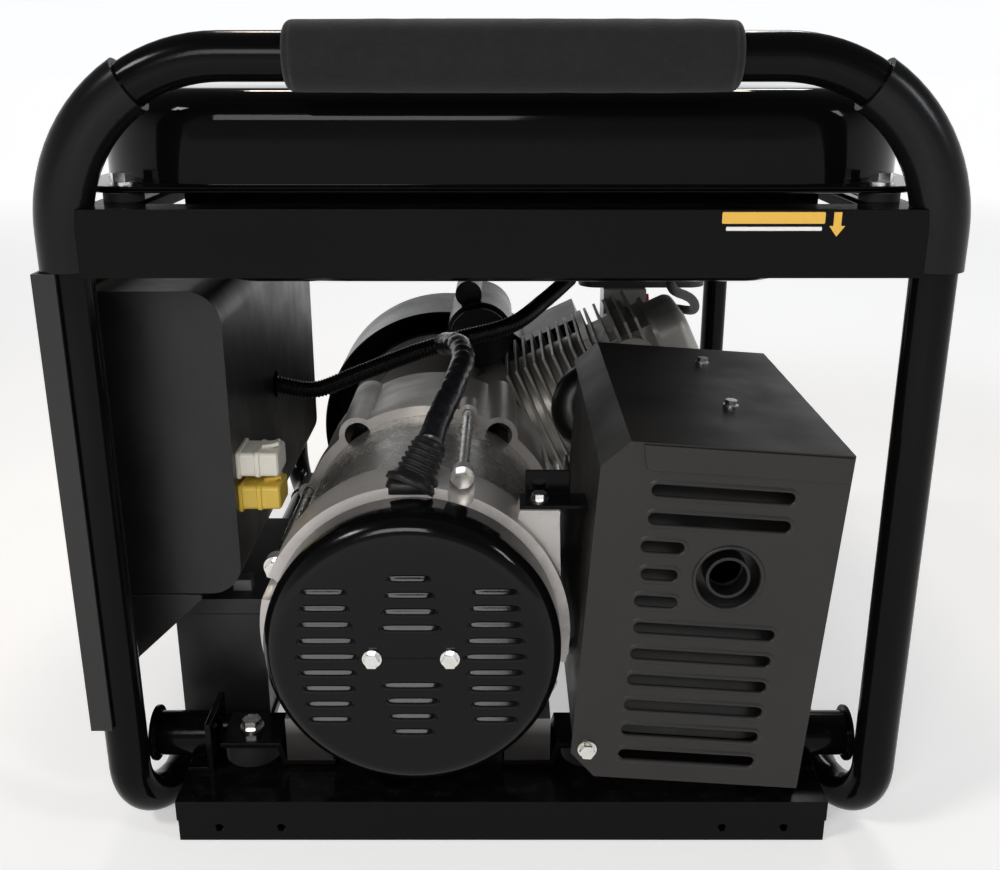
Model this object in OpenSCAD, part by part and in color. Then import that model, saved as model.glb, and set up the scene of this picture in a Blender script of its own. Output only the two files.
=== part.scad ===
// Portable open-frame generator set.
// A two-hoop tube frame carries a fuel tank, a single-cylinder engine, an alternator on the
// engine's shaft, a shielded muffler beside the alternator, a starting battery and a control
// panel on the left side.  Y runs along the crankshaft, with the alternator end at -Y.
// Z = 0 is the floor, X = 0 and Y = 0 are the middle of the frame.

/* [Frame] */
// Width over the frame tubes
frame_w = 530; // [520:1:545]
// Height of the frame, to the top of the tube
frame_h = 521; // [515:1:540]
// Length over the two hoops
frame_l = 680; // [676:1:700]
// Outer diameter of the frame tube
tube_d = 27; // [25:0.5:28]
// Wall thickness of the frame tube
tube_wall = 2; // [1.5:0.5:3]
// Centre-line radius of a hoop's top corners
corner_r = 96.5; // [85:0.5:105]
// Height of the crossbar's top edge
crossbar_z = 426; // [420:1:428]
// Height of the crossbar's face
crossbar_h = 39; // [34:1:42]
// Height of the pressed base members
member_h = 33; // [30:1:34]

/* [Grips] */
// Diameter of the foam grip
grip_d = 39; // [36:1:44]
// Length of the foam grip
grip_l = 250; // [200:1:280]
// Sideways shift of the grip on its tube
grip_shift = 6; // [-10:1:10]

/* [Engine and alternator] */
// Sideways place of the crankshaft
axis_x = -58; // [-60:1:-56]
// Height of the crankshaft
axis_z = 142; // [141:1:144]
// Slope of the cylinder above the horizontal, in degrees
cylinder_tilt = 25; // [24:1:26]
// Radius of the alternator's end cover
cover_r = 97; // [94:1:98]
// Cylinder bore
bore_d = 88; // [80:1:90]
// Radius of the crank throw
throw_r = 32; // [28:1:34]

/* [Muffler shield] */
// Width of the shield's face
shield_w = 153; // [150:1:156]
// Height of the shield's face
shield_h = 236; // [230:1:238]
// Depth of the shield
shield_l = 250; // [240:1:255]
// Lean of the shield toward the right, in degrees
shield_lean = 4; // [2:0.5:4.5]

/* [Fuel tank] */
// Width of the upper shell
tank_w = 514; // [506:1:516]
// Length of the upper shell
tank_l = 604; // [590:1:606]
// Height of the upper shell above the seam
tank_upper_h = 57; // [50:1:58]
// Depth of the lower shell below the seam
tank_lower_h = 65; // [58:1:68]

/* [Control panel] */
// Height of the panel's lower edge
panel_z = 90; // [88:1:100]
// Height of the panel's face
panel_h = 300; // [290:1:302]
// Length of the panel, from the near hoop
panel_l = 413; // [405:1:420]

/* [Hidden] */
$fn = 48;

eps = 0.01;
sheet = 1.5;                                  // general sheet metal
weld_gap = 0.1;                               // gap left round a welded or clamped tube
bend_thinning = 0.1;                          // loss of tube wall in a tight bend

// Frame stations
hoop_y = (frame_l - tube_d) / 2;              // centre plane of a hoop
leg_x = (frame_w - tube_d) / 2;               // centre line of a leg
top_z = frame_h - tube_d / 2;                 // centre line of a hoop's top tube
foot_z = tube_d / 2;                          // centre line of the side rails
foot_r = 40;                                  // bend from the leg to the floor
foot_turn = 22.5;                               // inward turn of that bend, in degrees
sweep_r = 42;                                 // bend back to the rail's direction
rail_x = leg_x - foot_r * sin(foot_turn) - sweep_r * (1 - cos(foot_turn));
rail_end_y = hoop_y - foot_r * cos(foot_turn) - sweep_r * sin(foot_turn);
member_x = rail_x - tube_d / 2;               // where a base member meets the rail
member_l = 90;
crossbar_depth = 26;                          // front to back
crossbar_face_y = -hoop_y - tube_d / 2 + 1;   // outer face of the near crossbar
guard_d = 33;                                 // plastic guard round a hoop's corner
guard_straight = 21;                          // how far it runs down the leg

// Alternator stations along Y
front_y = -frame_l / 2;
cover_depth = 36;
louvre_pitch = 11.5;
bracket_y = front_y + cover_depth;            // back of the end cover
core_y = bracket_y + 42;                      // back of the rear bracket
core_l = 132;
bell_y = core_y + core_l;                     // front of the drive-end bell
engine_y = -22;                               // front of the engine block
shell_r = 104;
bolt_circle = 103;
bolt_turn = 72;                               // angle of the first through bolt
lug_r = 8;
lug_t = 8;
core_r = 97;
air_gap = 2;
side_lug_x = 83;                              // cast lug that carries the shield's strap
side_lug_top = 84;                            // its height above the crankshaft
side_lug_y = -272;
side_lug_t = 24;
rotor_r = 50;

// Engine stations
engine_l = 150;
engine_end_y = engine_y + engine_l;
block_base = 106;                             // crankshaft height above the block's feet
cylinder_y = engine_y + 76;
head_z = 178;                                 // distance from the crank to the head joint
head_h = 54;
fin_w = 120;
flywheel_y = engine_end_y + 6;
blower_y = engine_end_y + 2;
recoil_y = engine_end_y + 100;

// Tank stations
seam_z = crossbar_z + 7;
tank_bolt_x = 226;
tank_bolt_y = 294;
filler_y = -40;
gauge_y = 110;
valve_x = 150;
valve_y = 20;

// Panel stations
panel_out = -frame_w / 2 - 3;                 // outer face of the panel
panel_t = 2.5;
housing_x = panel_out + panel_t;
housing_w = 87;
housing_z = 156;
housing_h = seam_z - tank_lower_h - 1 - housing_z;
housing_y = -276;
housing_l = 336;
outlet_y = -190;
twist_y = -70;
outlet_z = 225;
meter_y = -200;
breaker_y = -110;
reset_y = -60;
switch_y = 0;
upper_z = 325;
terminal_y = 30;
terminal_z = 120;

sleeve_y = -285;
sleeve_z = 51;
isolator_spread = 120;
isolator_h = 16;
isolator_y = -282;
alternator_foot_x = 76;                       // alternator's feet, from the crankshaft's plane
engine_mount_h = 26;                          // rubber mounts under the engine
engine_mount_x = 70;                          // their distance from the crankshaft's plane
shield_x = 129;
shield_z = 167;

// ---------------------------------------------------------------- general helpers

module on_crank_axis(y) {
    translate([axis_x, y, axis_z]) rotate([90, 0, 0]) children();
}

module on_cylinder_axis() {
    translate([axis_x, cylinder_y, axis_z]) rotate([0, 90 - cylinder_tilt, 0]) children();
}

module in_shield() {
    translate([shield_x, front_y, shield_z]) rotate([0, shield_lean, 0]) children();
}

module both_sides() {
    children();
    mirror([1, 0, 0]) children();
}

module both_ends() {
    children();
    mirror([0, 1, 0]) children();
}

module rod_between(a, b, d) {
    v = b - a;
    translate(a)
        rotate([0, acos(v[2] / norm(v)), atan2(v[1], v[0])])
            cylinder(d = d, h = norm(v));
}

// Position at t (0 to 1) on the smooth curve between p1 and p2, with neighbours p0 and p3.
function between(p0, p1, p2, p3, t) = 0.5 * (2 * p1 + (p2 - p0) * t
    + (2 * p0 - 5 * p1 + 4 * p2 - p3) * t * t + (3 * p1 - p0 - 3 * p2 + p3) * t * t * t);

function smooth_path(p, steps) = [
    for (i = [0 : len(p) - 2], k = [0 : steps - 1])
        between(p[max(i - 1, 0)], p[i], p[i + 1], p[min(i + 2, len(p) - 1)], k / steps),
    p[len(p) - 1]
];

function unit(v) = v / norm(v);

function headings(p) = [
    for (i = [0 : len(p) - 1]) unit(p[min(i + 1, len(p) - 1)] - p[max(i - 1, 0)])
];

// Side vector carried along the path without twisting.
function carried(side, way, i = 0) = i >= len(way) ? [] :
    let (next = unit(side - way[i] * (side * way[i])))
        concat([next], carried(next, way, i + 1));

// A hose, pipe or cable of round section along a smooth curve through the points.
module swept_tube(points, d, steps = 4, sides = 16) {
    path = smooth_path(points, steps);
    way = headings(path);
    side = carried(cross(way[0], unit([0.31, 0.52, 0.8])), way);
    n = len(path);
    ring = [for (i = [0 : n - 1], a = [0 : sides - 1])
        path[i] + d / 2 * (cos(a * 360 / sides) * side[i]
            + sin(a * 360 / sides) * cross(way[i], side[i]))];
    walls = [for (i = [0 : n - 2], a = [0 : sides - 1])
        let (b = (a + 1) % sides)
            [i * sides + a, (i + 1) * sides + a, (i + 1) * sides + b, i * sides + b]];
    start = [[for (a = [0 : sides - 1]) a]];
    end = [[for (a = [sides - 1 : -1 : 0]) (n - 1) * sides + a]];
    polyhedron(ring, concat(walls, start, end));
}

module hex_bolt(size, grip) {
    flange_h = size * 0.25;
    cylinder(d = size * 2.1, h = flange_h);
    cylinder(d = size * 1.75, h = size * 0.9, $fn = 6);
    translate([0, 0, -grip]) cylinder(d = size, h = grip + flange_h);
}

module rounded_rect(w, h, r) {
    translate([-w / 2, -h / 2 + r]) square([w, h - 2 * r]);
    translate([-w / 2 + r, -h / 2]) square([w - 2 * r, h]);
    for (sx = [-1, 1], sy = [-1, 1])
        translate([sx * (w / 2 - r), sy * (h / 2 - r)]) circle(r);
}

// Half section of a pressed pan's rim, from its corner centre outward.
module pan_rim(plan_r, edge_r, h) {
    square([plan_r, h - edge_r]);
    square([plan_r - edge_r, h]);
    intersection() {
        translate([plan_r - edge_r, h - edge_r]) circle(edge_r);
        square([plan_r, h]);
    }
}

// A pan with upright walls, round corners in plan and a round upper edge.
module pan(w, l, plan_r, edge_r, h) {
    side_w = w - 2 * plan_r;
    side_l = l - 2 * plan_r;
    translate([-side_w / 2, -side_l / 2, 0]) cube([side_w, side_l, h]);
    for (turn = [0, 180]) rotate(turn) {
        translate([side_w / 2, side_l / 2, 0]) rotate([90, 0, 0])
            linear_extrude(side_l) pan_rim(plan_r, edge_r, h);
        translate([-side_w / 2, side_l / 2, 0]) rotate([90, 0, 90])
            linear_extrude(side_w) pan_rim(plan_r, edge_r, h);
        for (sx = [0, 1]) mirror([sx, 0, 0])
            translate([side_w / 2, side_l / 2, 0])
                rotate_extrude(angle = 90) pan_rim(plan_r, edge_r, h);
    }
}

// ---------------------------------------------------------------- frame

module tube_ring() {
    difference() {
        circle(d = tube_d);
        circle(d = tube_d - 2 * tube_wall);
    }
}

// The bend's wall is a hair thinner than the leg's, as bending leaves it.
module leg_foot() {
    translate([leg_x, 0, foot_z + foot_r]) rotate(foot_turn) translate([0, foot_r, 0])
        rotate([90, 0, 90]) rotate(180) rotate_extrude(angle = 90)
            translate([foot_r, 0]) difference() {
                circle(d = tube_d - bend_thinning);
                circle(d = tube_d - 2 * tube_wall + bend_thinning);
            }
}

module hoop() {
    color("#1b1b1d") {
        translate([corner_r - leg_x, 0, top_z]) rotate([0, 90, 0])
            linear_extrude(2 * (leg_x - corner_r)) tube_ring();
        both_sides() {
            translate([leg_x - corner_r, 0, top_z - corner_r]) rotate([90, 0, 0])
                rotate_extrude(angle = 90) translate([corner_r, 0]) tube_ring();
            translate([leg_x, 0, foot_z + foot_r])
                linear_extrude(top_z - corner_r - foot_z - foot_r) tube_ring();
            leg_foot();
        }
    }
}

module near_hoop() {
    translate([0, -hoop_y, 0]) hoop();
}

module far_hoop() {
    mirror([0, 1, 0]) near_hoop();
}

module side_rails() {
    color("#1b1b1d") both_sides() {
        translate([rail_x, rail_end_y, foot_z]) rotate([90, 0, 0])
            linear_extrude(2 * rail_end_y) tube_ring();
        both_ends() translate([rail_x + sweep_r, -rail_end_y, foot_z]) rotate(180)
            rotate_extrude(angle = foot_turn) translate([sweep_r, 0]) tube_ring();
    }
}

module crossbars() {
    wall = 2;
    bend_room = 1.3;
    color("#1b1b1d") both_ends() difference() {
        translate([-leg_x, crossbar_face_y, crossbar_z - crossbar_h])
            cube([2 * leg_x, crossbar_depth, crossbar_h]);
        translate([-leg_x - 1, crossbar_face_y + wall, crossbar_z - crossbar_h + wall])
            cube([2 * leg_x + 2, crossbar_depth, crossbar_h - 2 * wall]);
        both_sides() translate([leg_x, -hoop_y, 0]) {
            cylinder(d = tube_d + 2 * weld_gap, h = frame_h);
            translate([0, 0, top_z - corner_r]) cylinder(d = tube_d + 2 * bend_room, h = frame_h);
        }
    }
}

module top_rails() {
    rail_l = 2 * (hoop_y - tube_d / 2);
    flange = 28;
    wall = 3;
    drop = 20;
    inner_x = tank_bolt_x - 12;
    color("#1b1b1d") both_sides() difference() {
        union() {
            translate([inner_x, -rail_l / 2, crossbar_z - wall]) cube([flange, rail_l, wall]);
            translate([inner_x + flange - wall, -rail_l / 2, crossbar_z - drop])
                cube([wall, rail_l, drop]);
        }
        for (sy = [-1, 1]) translate([tank_bolt_x, sy * tank_bolt_y, crossbar_z - drop])
            cylinder(d = 9, h = 2 * drop);
    }
}

// Pressed channel that closes the floor of the frame under one hoop.
module base_member() {
    wall = 2;
    lip = 16;
    fold_z = 20;
    fold_d = 3;
    difference() {
        union() {
            translate([-member_x, front_y + fold_d, 0]) cube([2 * member_x, wall, fold_z]);
            translate([-member_x, front_y, fold_z - wall])
                cube([2 * member_x, fold_d + wall, wall]);
            translate([-member_x, front_y, fold_z - wall])
                cube([2 * member_x, wall, member_h - fold_z + wall]);
            translate([-member_x, front_y, member_h - wall])
                cube([2 * member_x, member_l, wall]);
            translate([-member_x, front_y + member_l - wall, 0])
                cube([2 * member_x, wall, member_h]);
            translate([-member_x, front_y + fold_d, 0]) cube([2 * member_x, lip, wall]);
        }
        for (x = [-192, -150, 150, 192]) translate([x, front_y - 1, 10]) rotate([-90, 0, 0])
            cylinder(d = 6, h = 10);
        both_sides() translate([rail_x, -hoop_y, foot_z]) rotate([-90, 0, 0])
            cylinder(d = tube_d + 2 * weld_gap, h = frame_l);
    }
}

// Lipped channel across the floor under the engine.
module engine_member() {
    member_top = axis_z - block_base - engine_mount_h;
    width = 116;
    wall = 3;
    lip = 12;
    difference() {
        translate([-member_x, cylinder_y - width / 2, 0]) cube([2 * member_x, width, member_top]);
        translate([-member_x - 1, cylinder_y - width / 2 + wall, wall])
            cube([2 * member_x + 2, width - 2 * wall, member_top - 2 * wall]);
        translate([-member_x - 1, cylinder_y - width / 2 + lip, -1])
            cube([2 * member_x + 2, width - 2 * lip, wall + 2]);
        both_sides() translate([rail_x, -hoop_y, foot_z]) rotate([-90, 0, 0])
            cylinder(d = tube_d + 2 * weld_gap, h = frame_l);
    }
}

module base_members() {
    color("#1b1b1d") {
        both_ends() base_member();
        engine_member();
    }
}

module corner_guards() {
    start = 32;
    fit = tube_d + 0.4;
    slot_gap = 0.2;
    color("#202022") both_ends() both_sides() difference() {
        translate([leg_x - corner_r, -hoop_y, top_z - corner_r]) {
            rotate([90, 0, 0]) rotate_extrude(angle = 90 - start) translate([corner_r, 0])
                difference() {
                    circle(d = guard_d);
                    circle(d = fit);
                }
            translate([corner_r, 0, -guard_straight]) difference() {
                cylinder(d = guard_d, h = guard_straight);
                translate([0, 0, -eps]) cylinder(d = fit, h = guard_straight + 2 * eps);
            }
        }
        translate([0, crossbar_face_y - slot_gap, crossbar_z - crossbar_h])
            cube([leg_x, crossbar_depth + 2 * slot_gap, crossbar_h + slot_gap]);
    }
}

module grip() {
    color("#2b2b2d") translate([grip_shift, -hoop_y, top_z]) rotate([0, 90, 0]) difference() {
        cylinder(d = grip_d, h = grip_l, center = true);
        cylinder(d = tube_d + 2 * weld_gap, h = grip_l + 1, center = true);
    }
}

module near_grip() {
    grip();
}

module far_grip() {
    mirror([0, 1, 0]) grip();
}

// Cross tubes with turned flanges that take the axle of a wheel kit.
module axle_sleeves() {
    sleeve_d = 31;
    sleeve_bore = 20;
    flange_d = 39;
    flange_t = 3;
    outer_x = 246;
    inner_x = 201;
    plate_t = 4;
    plate_l = 44;
    plate_h = sleeve_z - member_h + 20;
    color("#1b1b1d") both_sides() difference() {
        union() {
            translate([inner_x, sleeve_y, sleeve_z]) rotate([0, 90, 0])
                cylinder(d = sleeve_d, h = outer_x - inner_x);
            translate([outer_x - flange_t, sleeve_y, sleeve_z]) rotate([0, 90, 0])
                cylinder(d = flange_d, h = flange_t);
            translate([inner_x, sleeve_y - plate_l / 2, member_h]) cube([plate_t, plate_l, plate_h]);
            translate([inner_x, sleeve_y - plate_l / 2, member_h]) cube([18, plate_l, plate_t]);
        }
        translate([inner_x - 1, sleeve_y, sleeve_z]) rotate([0, 90, 0])
            cylinder(d = sleeve_bore, h = outer_x - inner_x + 2);
    }
}

module rubber_mounts() {
    stud = 8.4;
    color("#151515") {
        for (sx = [-1, 1]) {
            translate([axis_x + sx * isolator_spread, isolator_y, member_h]) difference() {
                cylinder(d = 38, h = isolator_h);
                translate([0, 0, 6]) cylinder(d = stud, h = isolator_h);
            }
            translate([axis_x + sx * engine_mount_x, cylinder_y, axis_z - block_base - engine_mount_h])
                difference() {
                    cylinder(d = 40, h = engine_mount_h);
                    translate([0, 0, 8]) cylinder(d = stud, h = engine_mount_h);
                }
        }
        both_ends() both_sides() translate([tank_bolt_x, tank_bolt_y, crossbar_z]) difference() {
            cylinder(d = 24, h = 5);
            translate([0, 0, -eps]) cylinder(d = stud, h = 6);
        }
    }
}

// Cranked plates from the alternator's feet to the two near isolators.
module alternator_brackets() {
    plate = 4;
    low = 3;
    high = isolator_h;
    color("#1b1b1d") for (side = [0, 1]) translate([axis_x, isolator_y + 20, member_h])
        mirror([side, 0, 0]) rotate([90, 0, 0]) difference() {
            linear_extrude(40) polygon([
                [58, low], [95, low], [99, high], [139, high], [139, high + plate],
                [96, high + plate], [92, low + plate], [58, low + plate]
            ]);
            translate([isolator_spread, -1, 20]) rotate([-90, 0, 0]) cylinder(d = 9, h = 40);
            translate([alternator_foot_x, -1, 20]) rotate([-90, 0, 0]) cylinder(d = 9, h = 40);
        }
    color("#1b1b1d") shield_strap();
}

// Angle from the rear bracket's lug to the side of the muffler's shield.
module shield_strap() {
    t = 3;
    w = side_lug_t - 2;
    translate([axis_x + side_lug_x - 13, side_lug_y - w, axis_z + side_lug_top]) difference() {
        union() {
            cube([44, w, t]);
            translate([4, w - t, 0]) cube([30, t, 20]);
        }
        translate([13, w / 2 - 2, -1]) cylinder(d = 6.4, h = t + 2);
    }
}

module frame_bolts() {
    color("#b9bbbf") {
        for (sx = [-1, 1])
            translate([axis_x + sx * isolator_spread, isolator_y, member_h + isolator_h + 4])
                hex_bolt(8, 12);
        both_ends() both_sides() translate([tank_bolt_x, tank_bolt_y, seam_z + 2]) hex_bolt(8, 24);
        translate([axis_x + side_lug_x, side_lug_y - side_lug_t / 2 - 1, axis_z + side_lug_top + 3])
            hex_bolt(6, 3);
        ground_stud();
    }
}

// ---------------------------------------------------------------- fuel tank

module tank_flange_outline() {
    difference() {
        rounded_rect(tank_w + 6, tank_l + 6, 36);
        for (sx = [-1, 1], sy = [-1, 1]) translate([sx * tank_bolt_x, sy * tank_bolt_y]) circle(d = 9);
    }
}

module tank_upper() {
    neck_r = 29;
    plan_r = 92;
    edge_r = 20;
    color("#141416") difference() {
        union() {
            translate([0, 0, seam_z]) linear_extrude(2) tank_flange_outline();
            translate([0, 0, seam_z]) pan(tank_w, tank_l, plan_r, edge_r, tank_upper_h);
            translate([0, filler_y, seam_z + tank_upper_h - 2]) cylinder(r = neck_r, h = 14);
        }
        translate([0, 0, seam_z - eps])
            pan(tank_w - 2 * sheet, tank_l - 2 * sheet, plan_r - sheet, edge_r - sheet,
                tank_upper_h - sheet);
        translate([0, filler_y, seam_z]) cylinder(r = neck_r - 3, h = 80);
        translate([0, gauge_y, seam_z]) cylinder(d = 30, h = 80);
    }
}

module tank_lower() {
    lower_w = 2 * (tank_bolt_x - 20);
    lower_l = tank_l - 46;
    plan_r = 50;
    edge_r = 35;
    color("#141416") difference() {
        union() {
            translate([0, 0, seam_z - 2]) linear_extrude(2) tank_flange_outline();
            translate([0, 0, seam_z]) mirror([0, 0, 1])
                pan(lower_w, lower_l, plan_r, edge_r, tank_lower_h);
        }
        translate([0, 0, seam_z + eps]) mirror([0, 0, 1])
            pan(lower_w - 2 * sheet, lower_l - 2 * sheet, plan_r - sheet, edge_r - sheet,
                tank_lower_h - sheet);
        translate([valve_x, valve_y, seam_z - 90]) cylinder(d = 10.2, h = 80);
    }
}

module fuel_cap() {
    cap_r = 40;
    cap_h = 22;
    ribs = 20;
    color("#1d1d1f") translate([0, filler_y, seam_z + tank_upper_h + 0.5]) difference() {
        union() {
            cylinder(r = cap_r - 2, h = cap_h - 4);
            translate([0, 0, cap_h - 4]) cylinder(r1 = cap_r - 2, r2 = cap_r - 6, h = 4);
            for (i = [1 : ribs]) rotate(i * 360 / ribs)
                translate([cap_r - 3, 0, 0]) cylinder(d = 5, h = cap_h - 5);
        }
        translate([0, 0, -eps]) cylinder(r = 29.5, h = 13);
    }
}

module fuel_gauge() {
    color("#2a2a2c") translate([0, gauge_y, seam_z + tank_upper_h]) difference() {
        union() {
            cylinder(r = 27, h = 8);
            translate([0, 0, -20]) cylinder(d = 29, h = 21);
        }
        translate([0, 0, 3]) cylinder(r = 23, h = 8);
    }
}

module gauge_needle() {
    color("#c8402c") translate([0, gauge_y, seam_z + tank_upper_h + 3.4]) {
        cylinder(r = 3.5, h = 2.5);
        translate([-19, -0.8, 0.6]) cube([22, 1.6, 1.2]);
    }
}

module fuel_valve() {
    color("#8d8f93") translate([valve_x, valve_y, seam_z - tank_lower_h]) difference() {
        union() {
            translate([0, 0, -6]) cylinder(d = 22, h = 6, $fn = 6);
            translate([0, 0, -20]) cylinder(d = 18, h = 15);
            translate([0, 0, -13]) rotate([90, 0, 0]) cylinder(d = 16, h = 15);
            translate([0, 0, -30]) cylinder(d = 8, h = 12);
            cylinder(d = 10, h = 8);
        }
        translate([0, -15 - eps, -13]) rotate([-90, 0, 0]) cylinder(d = 6.2, h = 9);
    }
}

module valve_lever() {
    color("#26262a") translate([valve_x, valve_y - 15.2, seam_z - tank_lower_h - 13]) {
        rotate([90, 0, 0]) cylinder(d = 14, h = 5);
        rotate([-90, 0, 0]) cylinder(d = 6, h = 7);
        translate([-4, -5, -26]) cube([8, 4, 26]);
    }
}

module fuel_hose() {
    hose_d = 9;
    start = [valve_x, valve_y, seam_z - tank_lower_h - 30.2];
    color("#101010") swept_tube([
        start, [150.2, 20.6, 327.5], [152, 24.5, 316.5], [156.5, 32.5, 308], [163.5, 44, 302.5],
        [171.5, 58, 297.5], [179.5, 73, 291.5], [186, 89, 284], [190, 105, 276],
        [190.5, 120.5, 270], [186.5, 134.5, 267], [178, 145, 266.2], [166, 151, 266],
        [152.2, 152, 266]
    ], hose_d);
}

// ---------------------------------------------------------------- control panel

module on_panel(y, z) {
    translate([panel_out, y, z]) rotate([0, -90, 0]) children();
}

module control_panel() {
    lip = 14;
    lip_t = 2.5;
    gusset = 58;
    panel_y = front_y - 3;
    color("#1a1a1c") difference() {
        union() {
            translate([panel_out, panel_y, panel_z]) cube([panel_t, panel_l, panel_h]);
            translate([panel_out, panel_y, panel_z]) cube([lip, lip_t, panel_h]);
            translate([housing_x, housing_y + 3, housing_z - 1]) rotate([90, 0, 0])
                linear_extrude(3) polygon([[0, 0], [gusset, 0], [gusset, -4], [0, -gusset]]);
        }
        on_panel(outlet_y, outlet_z) translate([0, 0, -10])
            linear_extrude(20) rounded_rect(68.4, 36.4, 6);
        on_panel(twist_y, outlet_z) translate([0, 0, -10]) cylinder(d = 46.4, h = 20);
        on_panel(meter_y, upper_z) translate([0, 0, -10]) cylinder(d = 44.4, h = 20);
        on_panel(breaker_y, upper_z) translate([-15, -7, -10]) cube([30, 14, 20]);
        on_panel(reset_y, upper_z) translate([0, 0, -10]) cylinder(d = 10.4, h = 20);
        on_panel(switch_y, upper_z) translate([0, 0, -10]) cylinder(d = 16.4, h = 20);
        on_panel(terminal_y, terminal_z) translate([0, 0, -10]) cylinder(d = 8.2, h = 20);
    }
}

module housing_section(inset) {
    r = 22 - inset;
    translate([inset, inset]) square([housing_w - 22 - inset, housing_h - 2 * inset]);
    translate([inset, 22]) square([housing_w - 2 * inset, housing_h - 44]);
    for (z = [22, housing_h - 22]) translate([housing_w - 22, z]) circle(r);
}

module control_housing() {
    wall = 2.5;
    color("#1e1e20") translate([housing_x, housing_y + housing_l, housing_z]) rotate([90, 0, 0])
        difference() {
            linear_extrude(housing_l) housing_section(0);
            translate([-wall - 1, 0, wall]) linear_extrude(housing_l - 2 * wall) {
                housing_section(wall);
                translate([0, wall]) square([30, housing_h - 2 * wall]);
            }
            translate([housing_w - 10, 106, housing_l - 156]) rotate([0, 90, 0])
                cylinder(d = 22, h = 20);
        }
}

module outlets() {
    color("#e4e2dc") on_panel(outlet_y, outlet_z) difference() {
        union() {
            translate([0, 0, -24]) linear_extrude(29) rounded_rect(68, 36, 5.8);
            linear_extrude(2) rounded_rect(78, 44, 8);
        }
        for (s = [-1, 1]) translate([s * 19, 0, 0]) {
            for (t = [-1, 1]) translate([-3, t * 6 - 1, -6]) cube([9, 2, 12]);
            translate([-9, 0, -6]) cylinder(d = 5, h = 12);
        }
    }
    locking_outlet();
}

module locking_outlet() {
    color("#232325") on_panel(twist_y, outlet_z) difference() {
        union() {
            translate([0, 0, -30]) cylinder(d = 46, h = 36);
            cylinder(d = 56, h = 3);
        }
        for (a = [0 : 90 : 270]) rotate(a) translate([12, -4, -8]) cube([2.4, 8, 15]);
    }
}

module voltmeter() {
    color("#d9dadb") on_panel(meter_y, upper_z) difference() {
        union() {
            translate([0, 0, -25]) cylinder(d = 44, h = 27);
            cylinder(d = 52, h = 6);
        }
        translate([0, 0, 3]) cylinder(d = 45, h = 4);
    }
}

module breaker_toggle() {
    color("#202022") on_panel(breaker_y, upper_z) {
        translate([0, 0, -6]) rotate([90, 0, 0]) cylinder(d = 16, h = 12, center = true);
        rotate([0, 20, 0]) translate([-3, -5, -4]) cube([6, 10, 18]);
    }
}

module reset_button() {
    color("#a9261f") on_panel(reset_y, upper_z) {
        translate([0, 0, -12]) cylinder(d = 10, h = 18);
    }
}

module engine_switch() {
    color("#1c1c1e") on_panel(switch_y, upper_z) {
        translate([0, 0, -20]) cylinder(d = 16, h = 20.3);
        translate([0, 0, 0.3]) cylinder(d = 26, h = 6);
        translate([-13, -3.5, 6]) cube([26, 7, 9]);
    }
}

module ground_stud() {
    on_panel(terminal_y, terminal_z) {
        translate([0, 0, -14]) cylinder(d = 8, h = 26);
        cylinder(d = 14, h = 5, $fn = 6);
        translate([0, 0, 7]) cylinder(d = 12, h = 3);
    }
}

// ---------------------------------------------------------------- alternator

// Outline of the end cover, from the axis outward and from its back to its face.
module cover_section(r, depth, edge) {
    square([r, depth - edge]);
    square([r - edge, depth]);
    translate([r - edge, depth - edge]) circle(edge);
}

module louvre_slots() {
    slot_h = 3;
    for (side = [-1, 1], i = [-4 : 4]) {
        slot_l = 38 - 3 * abs(i);
        translate([side * 54 - slot_l / 2, i * louvre_pitch - slot_h / 2, -2])
            cube([slot_l, slot_h, 10]);
    }
    for (side = [-1, 1], i = [1.8 : 1 : 4.8]) {
        slot_l = 44 - 4 * i;
        translate([-slot_l / 2, side * i * louvre_pitch - slot_h / 2, -2])
            cube([slot_l, slot_h, 10]);
    }
}

module alternator_cover() {
    edge = 14;
    color("#0f0f11") on_crank_axis(bracket_y) difference() {
        rotate_extrude() intersection() {
            difference() {
                cover_section(cover_r, cover_depth, edge);
                translate([0, -eps])
                    cover_section(cover_r - sheet, cover_depth - sheet, edge - sheet);
            }
            square([cover_r, cover_depth]);
        }
        translate([0, 0, cover_depth - 4]) louvre_slots();
        for (sx = [-1, 1]) translate([sx * 25, 0, 0]) cylinder(d = 6.4, h = 100);
    }
}

module flange_bolts() {
    color("#c6c8cb") {
        on_crank_axis(front_y) for (sx = [-1, 1]) translate([sx * 25, 0, 0]) hex_bolt(6, 10);
        in_shield() {
            translate([-66, 0, -97]) rotate([90, 0, 0]) hex_bolt(6, 3);
            for (y = [90, 204]) translate([18, y, shield_h / 2]) hex_bolt(5, 3);
        }
    }
}

module at_through_bolts() {
    for (i = [0 : 3]) rotate(bolt_turn + 90 * i) translate([bolt_circle, 0, 0]) children();
}

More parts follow.
